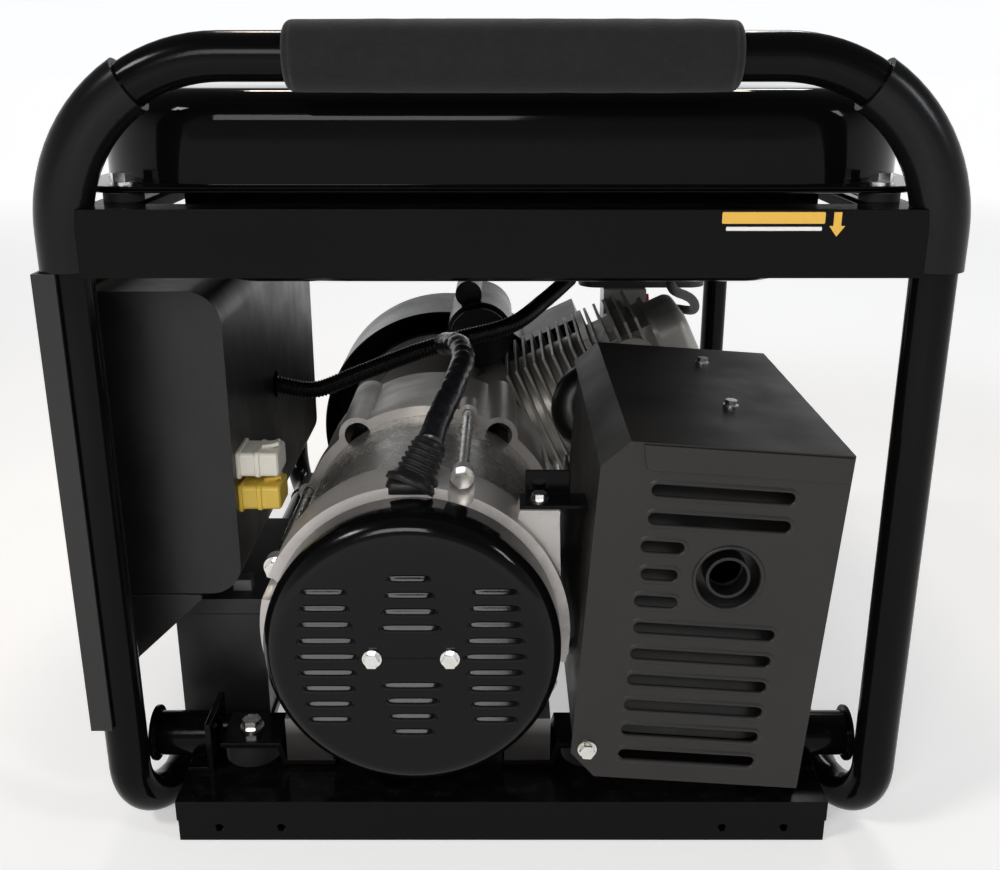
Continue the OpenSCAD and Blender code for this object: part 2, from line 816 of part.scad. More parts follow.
module rear_bracket() {
    ring_l = core_y - bracket_y;
    foot_w = 32;
    foot_top = 66;
    post_l = cover_depth - sheet;
    color("#c3c6c9") difference() {
        union() {
            on_crank_axis(core_y) {
                difference() {
                    cylinder(r = shell_r, h = ring_l);
                    translate([0, 0, -1]) cylinder(r = 92, h = ring_l + 2);
                }
                at_through_bolts() cylinder(r = lug_r, h = lug_t);
                translate([0, 0, ring_l - 16]) {
                    cylinder(r = 34, h = 18);
                    for (a = [45 : 90 : 315]) rotate(a) translate([30, -6, 0]) cube([64, 12, 8]);
                }
                translate([0, 0, ring_l]) for (sx = [-1, 1])
                    translate([sx * 25, 0, 0]) cylinder(d = 11, h = post_l);
                translate([0, 0, ring_l]) difference() {
                    cylinder(r = cover_r - 3, h = 10);
                    translate([0, 0, -1]) cylinder(r = 90, h = 12);
                }
            }
            for (sx = [-1, 1])
                translate([axis_x + sx * alternator_foot_x - foot_w / 2, isolator_y - 20,
                        member_h + 7])
                    cube([foot_w, 40, foot_top - member_h]);
            translate([axis_x, side_lug_y, axis_z]) rotate([90, 0, 0]) linear_extrude(side_lug_t)
                polygon([
                    [98, 20], [side_lug_x + 13, side_lug_top], [side_lug_x - 13, side_lug_top],
                    [66, 68]
                ]);
        }
        on_crank_axis(core_y) {
            translate([0, 0, -50]) cylinder(r = 89.9, h = 52);
            at_through_bolts() {
                translate([0, 0, -1]) cylinder(d = 8.6, h = lug_t + 2);
                translate([0, 0, lug_t]) cylinder(r = lug_r + 0.6, h = ring_l);
            }
            translate([0, 0, ring_l - 20]) cylinder(r = 12.1, h = 40);
            translate([0, 0, ring_l + post_l - 9]) for (sx = [-1, 1])
                translate([sx * 25, 0, 0]) cylinder(d = 6.2, h = 20);
            translate([0, 0, -30]) cylinder(r = 92, h = 30 + ring_l - 16.01);
        }
    }
}

module stator_core() {
    slots = 24;
    color("#77797d") on_crank_axis(bell_y) difference() {
        cylinder(r = core_r, h = core_l);
        translate([0, 0, -1]) cylinder(r = rotor_r + air_gap, h = core_l + 2);
        for (i = [1 : slots]) rotate(i * 360 / slots) translate([rotor_r, -3, -1])
            cube([20, 6, core_l + 2]);
    }
}

module stator_windings() {
    coil_r = 70;
    color("#b8672e") for (y = [core_y - 9, bell_y + 9]) on_crank_axis(y) rotate_extrude()
        translate([coil_r, 0]) rounded_rect(26, 17.8, 7);
}

module at_cast_eyes() {
    for (a = [55, 125, 235, 305]) rotate(a) translate([shell_r - 6, 0]) children();
}

// Cross-section of the bell's wall, with open eyes and lugs where they are wanted.
module bell_ring(rim_r, eyes_open, with_lugs) {
    difference() {
        union() {
            circle(r = rim_r);
            at_cast_eyes() circle(r = 15);
            if (with_lugs) at_through_bolts() circle(r = lug_r);
        }
        circle(r = shell_r - 7);
        if (eyes_open) at_cast_eyes() circle(r = 10.5);
        if (with_lugs) at_through_bolts() circle(d = 8.6);
    }
}

module drive_end_bell() {
    bell_l = engine_y - bell_y;
    floor_t = 8;
    eye_z = 30;
    flange_t = 24;
    color("#bfc2c6") difference() {
        on_crank_axis(engine_y) {
            linear_extrude(floor_t) difference() {
                circle(r = shell_r - 6);
                circle(r = 40);
            }
            linear_extrude(eye_z) bell_ring(shell_r - 1, false, false);
            translate([0, 0, eye_z]) linear_extrude(bell_l - flange_t - eye_z)
                bell_ring(shell_r - 1, true, false);
            translate([0, 0, bell_l - flange_t]) linear_extrude(flange_t)
                bell_ring(shell_r + 1, true, true);
        }
        on_crank_axis(engine_y) for (a = [-24 : 12 : 24], side = [0, 180])
            rotate(a + side) translate([70, -4, 24]) cube([60, 8, 50]);
    }
}

module rotor() {
    shaft_l = engine_y - bracket_y + 20;
    color("#8a8c90") on_crank_axis(engine_y) {
        cylinder(r = 12, h = shaft_l);
        translate([0, 0, engine_y - bell_y + 4]) difference() {
            cylinder(r = rotor_r, h = core_l - 8);
            for (a = [0, 180]) rotate(a) translate([24, -16, -1]) cube([40, 32, core_l]);
        }
        for (i = [0, 1]) translate([0, 0, shaft_l - 16 + i * 8]) cylinder(r = 17, h = 6);
    }
}

module cooling_fan() {
    blades = 14;
    fan_y = -62;
    color("#6f7276") on_crank_axis(fan_y) difference() {
        union() {
            cylinder(r = 88, h = 3);
            cylinder(r = 24, h = 16);
            for (i = [1 : blades]) rotate(i * 360 / blades) translate([40, -1, 2])
                cube([46, 2, 26]);
        }
        translate([0, 0, -1]) cylinder(r = 12.05, h = 40);
    }
}

module through_bolts() {
    rod_l = core_l + lug_t + 22;
    color("#c6c8cb") on_crank_axis(core_y - lug_t) at_through_bolts() {
        cylinder(d = 16, h = 2);
        cylinder(d = 13, h = 8, $fn = 6);
        translate([0, 0, -rod_l]) cylinder(d = 8, h = rod_l);
    }
}

// ---------------------------------------------------------------- cables

boot_foot = [axis_x, bracket_y + 8, axis_z + shell_r];
boot_lean = [11, 12, 21];
lead_path = [
    boot_foot + boot_lean, [-43, -264, 276], [-34, -230, 290], [-28, -190, 299],
    [-32, -156, 302], [-44, -125.5, 296]
];
harness_path = [
    [-179, -120, 262], [-150, -112, 255], [-118, -110, 266], [-84, -113, 280],
    [-58, -116, 290], [-30, -106, 296], [8, -86, 302], [36, -40, 312], [60, 0, 324]
];

module cable_boot() {
    rings = 5;
    color("#111112") difference() {
        union() {
            translate(boot_foot + [0, 0, -1]) translate([-17, -9, 0]) cube([34, 18, 6]);
            rod_between(boot_foot, boot_foot + boot_lean, 22);
            for (i = [1 : rings]) {
                at = boot_foot + boot_lean * i / (rings + 1);
                rod_between(at, at + boot_lean * 0.06, 27);
            }
        }
        on_crank_axis(core_y) cylinder(r = shell_r, h = 80);
    }
}

module alternator_lead() {
    color("#0d0d0e") swept_tube(lead_path, 18);
}

module wiring_harness() {
    color("#161617") swept_tube(harness_path, 14);
}

// ---------------------------------------------------------------- engine

module block_section(inset) {
    circle(r = 84 - inset);
    translate([-88 + inset, -block_base + inset]) square([176 - 2 * inset, 62 - 2 * inset]);
}

module engine_block() {
    wall = 7;
    fins = 9;
    barrel_r = 54;
    color("#a9acb0") difference() {
        union() {
            on_crank_axis(engine_end_y) linear_extrude(engine_l) block_section(0);
            on_cylinder_axis() {
                cylinder(r = barrel_r, h = head_z);
                translate([-50, -50, 60]) cube([100, 100, 30]);
                for (i = [0 : fins - 1]) translate([-fin_w / 2, -fin_w / 2, 96 + i * 9])
                    cube([fin_w, fin_w, 2.6]);
                translate([-fin_w / 2, -fin_w / 2, head_z - 6]) cube([fin_w, fin_w, 6]);
            }
            for (sx = [-1, 1])
                translate([axis_x + sx * engine_mount_x - 20, cylinder_y - 30, axis_z - block_base])
                    cube([40, 60, 10]);
        }
        on_crank_axis(engine_end_y - wall) linear_extrude(engine_l - 2 * wall) block_section(wall);
        on_cylinder_axis() cylinder(d = bore_d, h = head_z + 1);
        on_crank_axis(engine_end_y + 1) cylinder(r = 15.1, h = engine_l + 2);
        translate([axis_x - 100, engine_y + 50, axis_z - 74]) rotate([0, 90, 0])
            cylinder(d = 18.4, h = 30);
    }
}

module cylinder_head() {
    fins = 5;
    color("#b4b7bb") on_cylinder_axis() difference() {
        union() {
            translate([-46, -50, head_z]) cube([92, 100, head_h]);
            for (i = [0 : fins - 1]) translate([-fin_w / 2, -fin_w / 2, head_z + 3 + i * 10])
                cube([fin_w, fin_w, 2.6]);
            translate([-24, -64, head_z + 27]) rotate([-90, 0, 0]) cylinder(r = 22, h = 128);
        }
        translate([0, 0, head_z - 1]) cylinder(d = bore_d - 8, h = 9);
        translate([-24, -65, head_z + 27]) rotate([-90, 0, 0]) cylinder(r = 14, h = 50);
        translate([-24, 15, head_z + 27]) rotate([-90, 0, 0]) cylinder(r = 13, h = 50);
        translate([26, -70, head_z + 25]) rotate([-90, 0, 0]) cylinder(r = 11, h = 40);
    }
}

module valve_cover() {
    color("#c9cbce") on_cylinder_axis() translate([0, 0, head_z + head_h]) {
        pan(92, 104, 18, 10, 32);
        linear_extrude(4) rounded_rect(102, 114, 16);
    }
}

module spark_plug() {
    color("#e8e6df") on_cylinder_axis() translate([26, -30, head_z + 25]) rotate([90, 0, 0]) {
        cylinder(d = 20, h = 9, $fn = 6);
        cylinder(d = 11, h = 34);
        translate([0, 0, 30]) cylinder(d = 18, h = 24);
        translate([0, 0, 44]) rotate([90, 0, 0]) cylinder(d = 14, h = 26, center = true);
    }
}

module crankshaft() {
    web_r = 58;
    web_t = 16;
    web_gap = 36;
    color("#8f9296") {
        on_crank_axis(engine_y + 60) cylinder(r = 15, h = 60);
        on_crank_axis(flywheel_y + 40) cylinder(r = 15, h = flywheel_y + 40 - cylinder_y - 18);
        for (s = [-1, 1]) on_crank_axis(cylinder_y + s * (web_gap + web_t) / 2 + web_t / 2)
            cylinder(r = web_r, h = web_t);
        on_crank_axis(cylinder_y + web_gap / 2) rotate(cylinder_tilt) translate([throw_r, 0, 0])
            cylinder(r = 17, h = web_gap);
    }
}

module piston() {
    crown_z = head_z - 8;
    color("#b9bbbd") on_cylinder_axis() difference() {
        translate([0, 0, crown_z - 46]) cylinder(d = bore_d - 0.1, h = 46);
        translate([0, 0, crown_z - 50]) cylinder(d = bore_d - 12, h = 44);
        translate([0, 0, crown_z - 28]) rotate([90, 0, 0])
            cylinder(d = 20, h = bore_d + 2, center = true);
    }
}

module flywheel() {
    blades = 16;
    color("#9c9fa3") on_crank_axis(flywheel_y + 34) difference() {
        union() {
            translate([0, 0, 18]) cylinder(r = 100, h = 14);
            cylinder(r = 24, h = 30);
            for (i = [1 : blades]) rotate(i * 360 / blades) translate([58, -1.5, 0])
                cube([38, 3, 20]);
        }
        translate([0, 0, -1]) cylinder(r = 15.05, h = 60);
    }
}

module blower_outline(inset) {
    circle(r = 124 - inset);
    rotate(cylinder_tilt) translate([60, -50 + inset]) square([112 - inset, 100 - 2 * inset]);
}

module blower_housing() {
    blower_l = recoil_y - blower_y;
    wall = 2;
    color("#1d1d1f") on_crank_axis(recoil_y) difference() {
        linear_extrude(blower_l) blower_outline(0);
        translate([0, 0, wall]) linear_extrude(blower_l) blower_outline(wall);
        translate([0, 0, -1]) cylinder(r = 72, h = 10);
    }
}

module recoil_housing() {
    skirt = 34;
    dome = 22;
    ribs = 12;
    wall = 2;
    color("#1d1d1f") on_crank_axis(recoil_y + skirt + dome) difference() {
        union() {
            cylinder(r1 = 66, r2 = 86, h = dome);
            translate([0, 0, dome]) cylinder(r = 86, h = skirt);
            translate([0, 0, dome + skirt - 3]) cylinder(r = 96, h = 3);
        }
        translate([0, 0, wall]) cylinder(r1 = 64, r2 = 84, h = dome);
        translate([0, 0, dome + wall - eps]) cylinder(r = 84, h = skirt);
        for (i = [1 : ribs]) rotate(i * 360 / ribs) translate([26, -4, -1]) cube([28, 8, 5]);
        rotate(125) translate([60, 0, -1]) cylinder(r = 8, h = 12);
    }
    color("#1d1d1f") on_crank_axis(recoil_y + skirt + dome - wall + eps)
        cylinder(r = 9, h = 38);
}

module recoil_pulley() {
    color("#d8d6cf") on_crank_axis(recoil_y + 40) difference() {
        union() {
            cylinder(r = 50, h = 3);
            cylinder(r = 42, h = 18);
            translate([0, 0, 15]) cylinder(r = 50, h = 3);
        }
        translate([0, 0, -1]) cylinder(r = 9.06, h = 40);
        for (i = [1 : 3]) rotate(i * 120) translate([26, 0, -1]) cylinder(r = 8, h = 40);
    }
}

module recoil_handle() {
    grip_h = 84;
    color("#1b1b1c") on_crank_axis(recoil_y + 78) rotate(125) translate([60, 0, 0]) {
        rotate([90, 0, 0]) cylinder(d = 20, h = grip_h, center = true);
        cylinder(d = 13, h = 30);
    }
}

module starter_motor() {
    body_y = engine_end_y - 2;
    color("#232326") on_crank_axis(body_y) rotate(73) translate([132, 0, 0]) {
        cylinder(r = 30, h = 104);
        translate([0, 0, 104]) cylinder(r = 27, h = 14);
        translate([30, 20, 30]) cylinder(r = 12, h = 60);
        translate([6, 8, 30]) cube([26, 14, 60]);
        translate([-48, -8, 4]) cube([24, 16, 20]);
    }
}

module carburetor() {
    color("#b0b2b5") difference() {
        union() {
            translate([102, 122, 244]) cube([42, 40, 46]);
            translate([123, 142, 228]) cylinder(d = 38, h = 18);
            translate([144, 152, 266]) rotate([0, 90, 0]) cylinder(d = 8, h = 8);
            translate([110, 118, 250]) cube([28, 6, 30]);
        }
        translate([130, 110, 280]) rotate([-90, 0, 0]) cylinder(d = 5, h = 5);
        translate([143.9 - 6, 132, 278]) rotate([0, 90, 0]) cylinder(d = 5.2, h = 12);
    }
}

module choke_lever() {
    arm = 24;
    color("#c23b2b") translate([144.4, 132, 278]) {
        rotate([0, 90, 0]) cylinder(d = 12, h = 3);
        translate([-5, 0, 0]) rotate([0, 90, 0]) cylinder(d = 5, h = 8);
        translate([0, -3.5, -arm]) cube([3, 7, arm]);
        translate([0, -6, -arm]) cube([14, 12, 4]);
    }
}

module air_cleaner() {
    box = [138, 124];
    color("#19191b") {
        translate([142, 188, 290.1]) linear_extrude(24.2) rounded_rect(box[0] - 12, box[1] - 12, 18);
        translate([142, 188, 314.2]) pan(box[0], box[1], 24, 12, 44);
    }
}

module oil_cap() {
    color("#d8b421") translate([axis_x - 88.3, engine_y + 50, axis_z - 74]) rotate([0, -90, 0]) {
        cylinder(r = 15, h = 6);
        cylinder(r = 11, h = 14);
        translate([-12, -2.5, 6]) cube([24, 5, 12]);
        translate([0, 0, -12]) cylinder(d = 18.2, h = 13);
    }
}

// ---------------------------------------------------------------- exhaust

pipe_d = 32;
pipe_path = [
    [117, -10.5, 250], [117, -22, 250], [116, -33, 250.3], [109, -46, 251.5], [96, -56, 252.5],
    [79, -62, 251], [63, -67, 242], [58, -72, 226], [66, -77, 211], [82, -84, 205],
    [94, -98, 205], [96, -112, 205], [96, -123.6, 205]
];

module exhaust_pipe() {
    color("#6c5f55") swept_tube(pipe_path, pipe_d, sides = 24);
}

module muffler() {
    can_w = 122;
    can_h = 186;
    can_l = 200;
    inlet = [-35.6, 35.6];
    collar_l = 9;
    can_y = 16;
    wall = 2;
    color("#4c4a48") in_shield() {
        difference() {
            translate([0, can_y + can_l, 0]) rotate([90, 0, 0]) linear_extrude(can_l)
                rounded_rect(can_w, can_h, 26);
            translate([0, can_y + can_l - wall, 0]) rotate([90, 0, 0]) linear_extrude(can_l - 2 * wall)
                rounded_rect(can_w - 2 * wall, can_h - 2 * wall, 24);
            translate([10.5, 0, 32]) rotate([-90, 0, 0]) cylinder(r = 11, h = 30);
        }
        translate([inlet[0], can_y + can_l - eps, inlet[1]]) rotate([-90, 0, 0]) difference() {
            cylinder(d = pipe_d + 7, h = collar_l);
            translate([0, 0, -1]) cylinder(d = pipe_d + 1.4, h = collar_l + 2);
        }
        translate([10.5, can_y + wall, 32]) rotate([90, 0, 0]) difference() {
            cylinder(r = 14, h = can_y + 1);
            translate([0, 0, -5]) cylinder(r = 12, h = can_y + 10);
        }
    }
}

module shield_outline(inset) {
    w = shield_w / 2 - inset;
    h = shield_h / 2 - inset;
    corner = 17;
    polygon([
        [-w + corner, -h], [w, -h], [w, h], [-w + corner, h], [-w, h - corner], [-w, -h + corner]
    ]);
}

module shield_slot(u, l, v) {
    slot_h = 7.5;
    translate([u, 1, v]) rotate([90, 0, 0]) linear_extrude(4, center = true)
        rounded_rect(l, slot_h, slot_h / 2 - eps);
}

module heat_shield() {
    pitch = 18.75;
    first_v = 88;
    flange_out = 8;
    outlet_d = 40;
    color("#232427") in_shield() difference() {
        union() {
            translate([0, sheet, 0]) rotate([90, 0, 0]) linear_extrude(sheet) shield_outline(0);
            translate([0, shield_l, 0]) rotate([90, 0, 0]) linear_extrude(shield_l)
                difference() {
                    shield_outline(0);
                    shield_outline(sheet);
                    translate([-shield_w, -shield_h / 2 - 1]) square([2 * shield_w, 30]);
                }
            translate([shield_w / 2 - eps, 26, -shield_h / 2 + 29])
                cube([flange_out, sheet, shield_h - 62]);
            translate([shield_w / 2 + flange_out - sheet, 26, -shield_h / 2 + 29])
                cube([sheet, shield_l - 26, shield_h - 62]);
        }
        translate([-shield_w / 2 - 1, 210, 20]) cube([4, shield_l, 80]);
        for (i = [0, 1]) shield_slot(0, 88, first_v - i * pitch);
        for (i = [2 : 4]) shield_slot(-33, 27 - 4 * (i % 2), first_v - i * pitch);
        for (i = [5 : 10]) shield_slot(0, 90, first_v - i * pitch);
        translate([10.5, -1, 32]) rotate([-90, 0, 0]) cylinder(d = outlet_d, h = 5);
        translate([-66, -1, -97]) rotate([-90, 0, 0]) cylinder(d = 6.4, h = 5);
        for (y = [90, 204]) translate([18, y, shield_h / 2 - 3]) cylinder(d = 5.4, h = 5);
    }
}

// ---------------------------------------------------------------- battery

module battery() {
    case_w = 65;
    case_l = 151;
    case_h = 86;
    case_x = -240;
    case_y = -236;
    case_z = 34;
    lid_h = 12;
    color("#131315") translate([case_x, case_y, case_z]) {
        cube([case_w, case_l, case_h]);
        translate([-1, -1, case_h]) cube([case_w + 2, case_l + 2, lid_h]);
        translate([10, 12, case_h + lid_h]) cube([14, 12, 9]);
        translate([41, 12, case_h + lid_h]) cube([14, 12, 9]);
        translate([-2, -3, -6.9]) cube([case_w + 4, case_l + 6, 6.8]);
    }
}

// ---------------------------------------------------------------- assembly

near_hoop();
far_hoop();
side_rails();
crossbars();
top_rails();
base_members();
corner_guards();
near_grip();
far_grip();
axle_sleeves();
rubber_mounts();
alternator_brackets();
frame_bolts();
tank_upper();
tank_lower();
fuel_cap();
fuel_gauge();
gauge_needle();
fuel_valve();
valve_lever();
fuel_hose();
control_panel();
control_housing();
outlets();
voltmeter();
breaker_toggle();
reset_button();
engine_switch();
alternator_cover();
flange_bolts();
rear_bracket();
stator_core();
stator_windings();
drive_end_bell();
rotor();
cooling_fan();
through_bolts();
cable_boot();
alternator_lead();
wiring_harness();
engine_block();
cylinder_head();
valve_cover();
spark_plug();
crankshaft();
piston();
flywheel();
blower_housing();
recoil_housing();
recoil_pulley();
recoil_handle();
starter_motor();
carburetor();
air_cleaner();
choke_lever();
oil_cap();
exhaust_pipe();
muffler();
heat_shield();
battery();
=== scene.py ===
"""The looks of a portable generator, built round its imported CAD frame."""

import math

import bmesh
import bpy
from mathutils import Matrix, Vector, noise


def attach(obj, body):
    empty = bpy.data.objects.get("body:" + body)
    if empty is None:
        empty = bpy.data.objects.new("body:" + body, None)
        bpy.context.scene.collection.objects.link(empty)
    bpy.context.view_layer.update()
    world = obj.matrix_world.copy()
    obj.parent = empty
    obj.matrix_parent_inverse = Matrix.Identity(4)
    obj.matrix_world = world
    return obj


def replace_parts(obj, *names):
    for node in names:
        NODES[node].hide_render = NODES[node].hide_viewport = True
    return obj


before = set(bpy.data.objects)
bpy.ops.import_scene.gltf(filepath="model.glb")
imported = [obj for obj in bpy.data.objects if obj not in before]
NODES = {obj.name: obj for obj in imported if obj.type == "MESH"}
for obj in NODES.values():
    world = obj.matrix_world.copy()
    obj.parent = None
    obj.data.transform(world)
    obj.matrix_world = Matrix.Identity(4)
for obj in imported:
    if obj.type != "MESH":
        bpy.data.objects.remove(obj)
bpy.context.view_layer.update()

# Stations of the object, in metres, as the CAD has them.
MM = 0.001
AXIS_X, AXIS_Z = -0.058, 0.142
FRONT_Y = -0.340
HOOP_Y = 0.3265
TOP_Z = 0.5075
TUBE_R = 0.0135
TANK_TOP = 0.490


# ---------------------------------------------------------------- materials

class Recipe:
    """A Principled material whose node tree is built link by link."""

    def __init__(self, name, colour, metallic=0.0, coat=0.0, coat_roughness=0.03, sheen=0.0,
                 specular=0.5):
        self.material = bpy.data.materials.new(name)
        self.material.use_nodes = True
        self.tree = self.material.node_tree
        self.shader = self.tree.nodes["Principled BSDF"]
        self.place = self.add("ShaderNodeTexCoord").outputs["Object"]
        self.height = None
        self.shader.inputs["Base Color"].default_value = (*colour, 1)
        self.shader.inputs["Metallic"].default_value = metallic
        self.shader.inputs["Coat Weight"].default_value = coat
        self.shader.inputs["Coat Roughness"].default_value = coat_roughness
        self.shader.inputs["Sheen Weight"].default_value = sheen
        self.shader.inputs["Specular IOR Level"].default_value = specular
        self.material.diffuse_color = (*colour, 1)

    def add(self, kind, **settings):
        node = self.tree.nodes.new(kind)
        for key, value in settings.items():
            setattr(node, key, value)
        return node

    def link(self, output, socket):
        self.tree.links.new(output, socket)

    def stretched(self, stretch):
        """The object's own coordinates, scaled apart along each axis."""
        node = self.add("ShaderNodeMapping")
        node.inputs["Scale"].default_value = stretch
        self.link(self.place, node.inputs["Vector"])
        return node.outputs["Vector"]

    def noise(self, scale, detail=4.0, roughness=0.55, stretch=(1, 1, 1)):
        node = self.add("ShaderNodeTexNoise")
        node.inputs["Scale"].default_value = scale
        node.inputs["Detail"].default_value = detail
        node.inputs["Roughness"].default_value = roughness
        self.link(self.stretched(stretch), node.inputs["Vector"])
        return node.outputs["Fac"]

    def cells(self, scale, feature="F1"):
        node = self.add("ShaderNodeTexVoronoi", feature=feature)
        node.inputs["Scale"].default_value = scale
        self.link(self.place, node.inputs["Vector"])
        return node.outputs["Distance"]

    def stripes(self, scale, direction, distortion=0.0):
        node = self.add("ShaderNodeTexWave", bands_direction=direction)
        node.inputs["Scale"].default_value = scale
        node.inputs["Distortion"].default_value = distortion
        self.link(self.place, node.inputs["Vector"])
        return node.outputs["Fac"]

    def coordinate(self, axis, low, high):
        """0 below low and 1 above high along one axis of the object."""
        parts = self.add("ShaderNodeSeparateXYZ")
        self.link(self.place, parts.inputs["Vector"])
        return self.spread(parts.outputs[axis], (low, high), (0, 1))

    def upward(self):
        """1 where the surface faces straight up, falling to 0 at 45 degrees."""
        parts = self.add("ShaderNodeSeparateXYZ")
        self.link(self.add("ShaderNodeNewGeometry").outputs["Normal"], parts.inputs["Vector"])
        return self.spread(parts.outputs["Z"], (0.7, 1.0), (0, 1))

    def spread(self, value, source, target):
        node = self.add("ShaderNodeMapRange")
        node.inputs["From Min"].default_value, node.inputs["From Max"].default_value = source
        node.inputs["To Min"].default_value, node.inputs["To Max"].default_value = target
        self.link(value, node.inputs["Value"])
        return node.outputs["Result"]

    def times(self, one, other):
        node = self.add("ShaderNodeMath", operation="MULTIPLY")
        self.link(one, node.inputs[0])
        self.link(other, node.inputs[1])
        return node.outputs["Value"]

    def colour(self, factor, first, second):
        """Paints from first to second as the factor goes from 0 to 1, over what was there."""
        node = self.add("ShaderNodeMix", data_type="RGBA")
        self.link(factor, node.inputs["Factor"])
        for socket, value in ((node.inputs["A"], first), (node.inputs["B"], second)):
            if isinstance(value, tuple):
                socket.default_value = (*value, 1)
            else:
                self.link(value, socket)
        self.link(node.outputs["Result"], self.shader.inputs["Base Color"])
        return node.outputs["Result"]

    def roughness(self, factor, low, high):
        self.link(self.spread(factor, (0.3, 0.7), (low, high)), self.shader.inputs["Roughness"])

    def bump(self, factor, strength, depth):
        """Adds relief of that depth in metres on top of the relief so far."""
        node = self.add("ShaderNodeBump")
        node.inputs["Strength"].default_value = strength
        node.inputs["Distance"].default_value = depth
        self.link(factor, node.inputs["Height"])
        if self.height is not None:
            self.link(self.height, node.inputs["Normal"])
        self.height = node.outputs["Normal"]
        self.link(self.height, self.shader.inputs["Normal"])


def gloss_paint(name, colour, dust=(0.06, 0.057, 0.054), low=0.10, high=0.24, peel=1.0,
                specular=0.08):
    """Powder coat: fine orange peel, handling haze and a little dust on level faces."""
    r = Recipe(name, colour, coat=0.04, coat_roughness=0.05, specular=specular)
    haze = r.noise(14, 6, 0.6)
    r.roughness(haze, low, high)
    settled = r.times(r.upward(), r.spread(r.noise(60, 8, 0.7), (0.5, 0.75), (0, 0.14)))
    mottled = r.colour(r.noise(5, 3), colour, tuple(1.35 * c for c in colour))
    r.colour(settled, mottled, dust)
    r.bump(r.noise(420, 2), 0.12 * peel, 0.0002)
    r.bump(r.noise(1900, 2), 0.05 * peel, 0.0001)
    return r.material


def satin_paint(name, colour, low=0.38, high=0.52):
    """Heat-resisting paint: fine grit, rubbed patches and a faint brown cast."""
    r = Recipe(name, colour, specular=0.4)
    r.roughness(r.noise(20, 6, 0.6), low, high)
    warm = r.colour(r.noise(7, 5), colour, (colour[0] * 1.25, colour[1] * 1.14, colour[2] * 1.05))
    grit = r.spread(r.noise(2600, 2), (0.62, 0.75), (0, 0.5))
    r.colour(grit, warm, tuple(2.2 * c for c in colour))
    r.bump(r.noise(1500, 3), 0.25, 0.0001)
    r.bump(r.noise(45, 2), 0.08, 0.0006)
    return r.material


def moulded_plastic(name, colour, low=0.35, high=0.5, grain=0.25):
    """Spark-eroded mould texture with slightly polished patches."""
    r = Recipe(name, colour, specular=0.4)
    r.roughness(r.noise(30, 5, 0.6), low, high)
    r.colour(r.noise(9, 4), colour, tuple(1.3 * c for c in colour))
    r.bump(r.cells(1300), grain, 0.0001)
    r.bump(r.noise(70, 2), 0.05, 0.0005)
    return r.material


def cast_metal(name, colour, grime=(0.10, 0.085, 0.07), low=0.3, high=0.48, sand=0.4,
               shaded_below=None):
    """Sand-textured casting with grime in patches, and painted shade below a height if one is given,
    near black at the bottom.
    """
    r = Recipe(name, colour, metallic=0.5, specular=0.6)
    r.roughness(r.noise(35, 7, 0.65), low, high)
    tone = r.colour(r.noise(18, 5), colour, tuple(0.72 * c for c in colour))
    tone = r.colour(r.spread(r.noise(11, 8, 0.72), (0.55, 0.78), (0, 0.8)), tone, grime)
    # Painted shade: near black low down, blending into the casting's tone over the 40 mm below the
    # given height.
    if shaded_below:
        r.colour(r.coordinate("Z", shaded_below - 0.04, shaded_below), (0.035, 0.033, 0.031), tone)
    r.bump(r.noise(650, 4), sand, 0.00025)
    r.bump(r.noise(90, 3), 0.15, 0.0008)
    return r.material


def plated_steel(name, colour, tint=(0.66, 0.62, 0.45), low=0.2, high=0.36):
    """Zinc plate: bright, with yellowish passivation and small stains."""
    r = Recipe(name, colour, metallic=1.0)
    r.roughness(r.noise(90, 6, 0.6), low, high)
    tone = r.colour(r.spread(r.noise(120, 4), (0.45, 0.7), (0, 0.6)), colour, tint)
    r.colour(r.spread(r.noise(240, 6, 0.7), (0.66, 0.8), (0, 0.7)), tone, (0.2, 0.16, 0.12))
    r.bump(r.noise(900, 2), 0.12, 0.0001)
    return r.material


def rubber(name, colour, low=0.6, high=0.8, sheen=0.15):
    """Matt rubber with a chalky bloom."""
    r = Recipe(name, colour, sheen=sheen, specular=0.3)
    r.roughness(r.noise(40, 5, 0.6), low, high)
    r.colour(r.spread(r.noise(80, 7, 0.7), (0.5, 0.72), (0, 0.5)), colour,
             tuple(2.4 * c + 0.01 for c in colour))
    r.bump(r.noise(1100, 3), 0.3, 0.0001)
    return r.material


def foam(name):
    """Closed-cell foam: open pores over a soft matt skin."""
    r = Recipe(name, (0.012, 0.012, 0.013), sheen=0.12, specular=0.12)
    r.roughness(r.noise(50, 4), 0.82, 0.95)
    r.colour(r.noise(300, 5, 0.7), (0.008, 0.008, 0.009), (0.020, 0.020, 0.021))
    r.bump(r.cells(1500), 0.7, 0.0003)
    r.bump(r.noise(380, 3), 0.4, 0.0003)
    return r.material


def laminations(name):
    """Stacked electrical steel, ground smooth: bright, with its sheets only just showing."""
    r = Recipe(name, (0.62, 0.61, 0.58), metallic=0.7)
    sheets = r.stripes(330, "Y", 0.25)
    r.roughness(r.noise(60, 5), 0.2, 0.34)
    tone = r.colour(sheets, (0.5, 0.49, 0.46), (0.66, 0.65, 0.62))
    r.colour(r.spread(r.noise(30, 7, 0.7), (0.62, 0.85), (0, 0.35)), tone, (0.2, 0.14, 0.1))
    r.bump(sheets, 0.1, 0.0002)
    return r.material


def windings(name):
    """Varnished copper wire, wound round the coil."""
    r = Recipe(name, (0.5, 0.16, 0.05), metallic=0.7, coat=0.6, coat_roughness=0.12)
    turns = r.stripes(260, "DIAGONAL", 1.5)
    r.roughness(turns, 0.25, 0.4)
    r.colour(turns, (0.2, 0.05, 0.015), (0.62, 0.24, 0.08))
    r.bump(turns, 0.6, 0.0006)
    return r.material


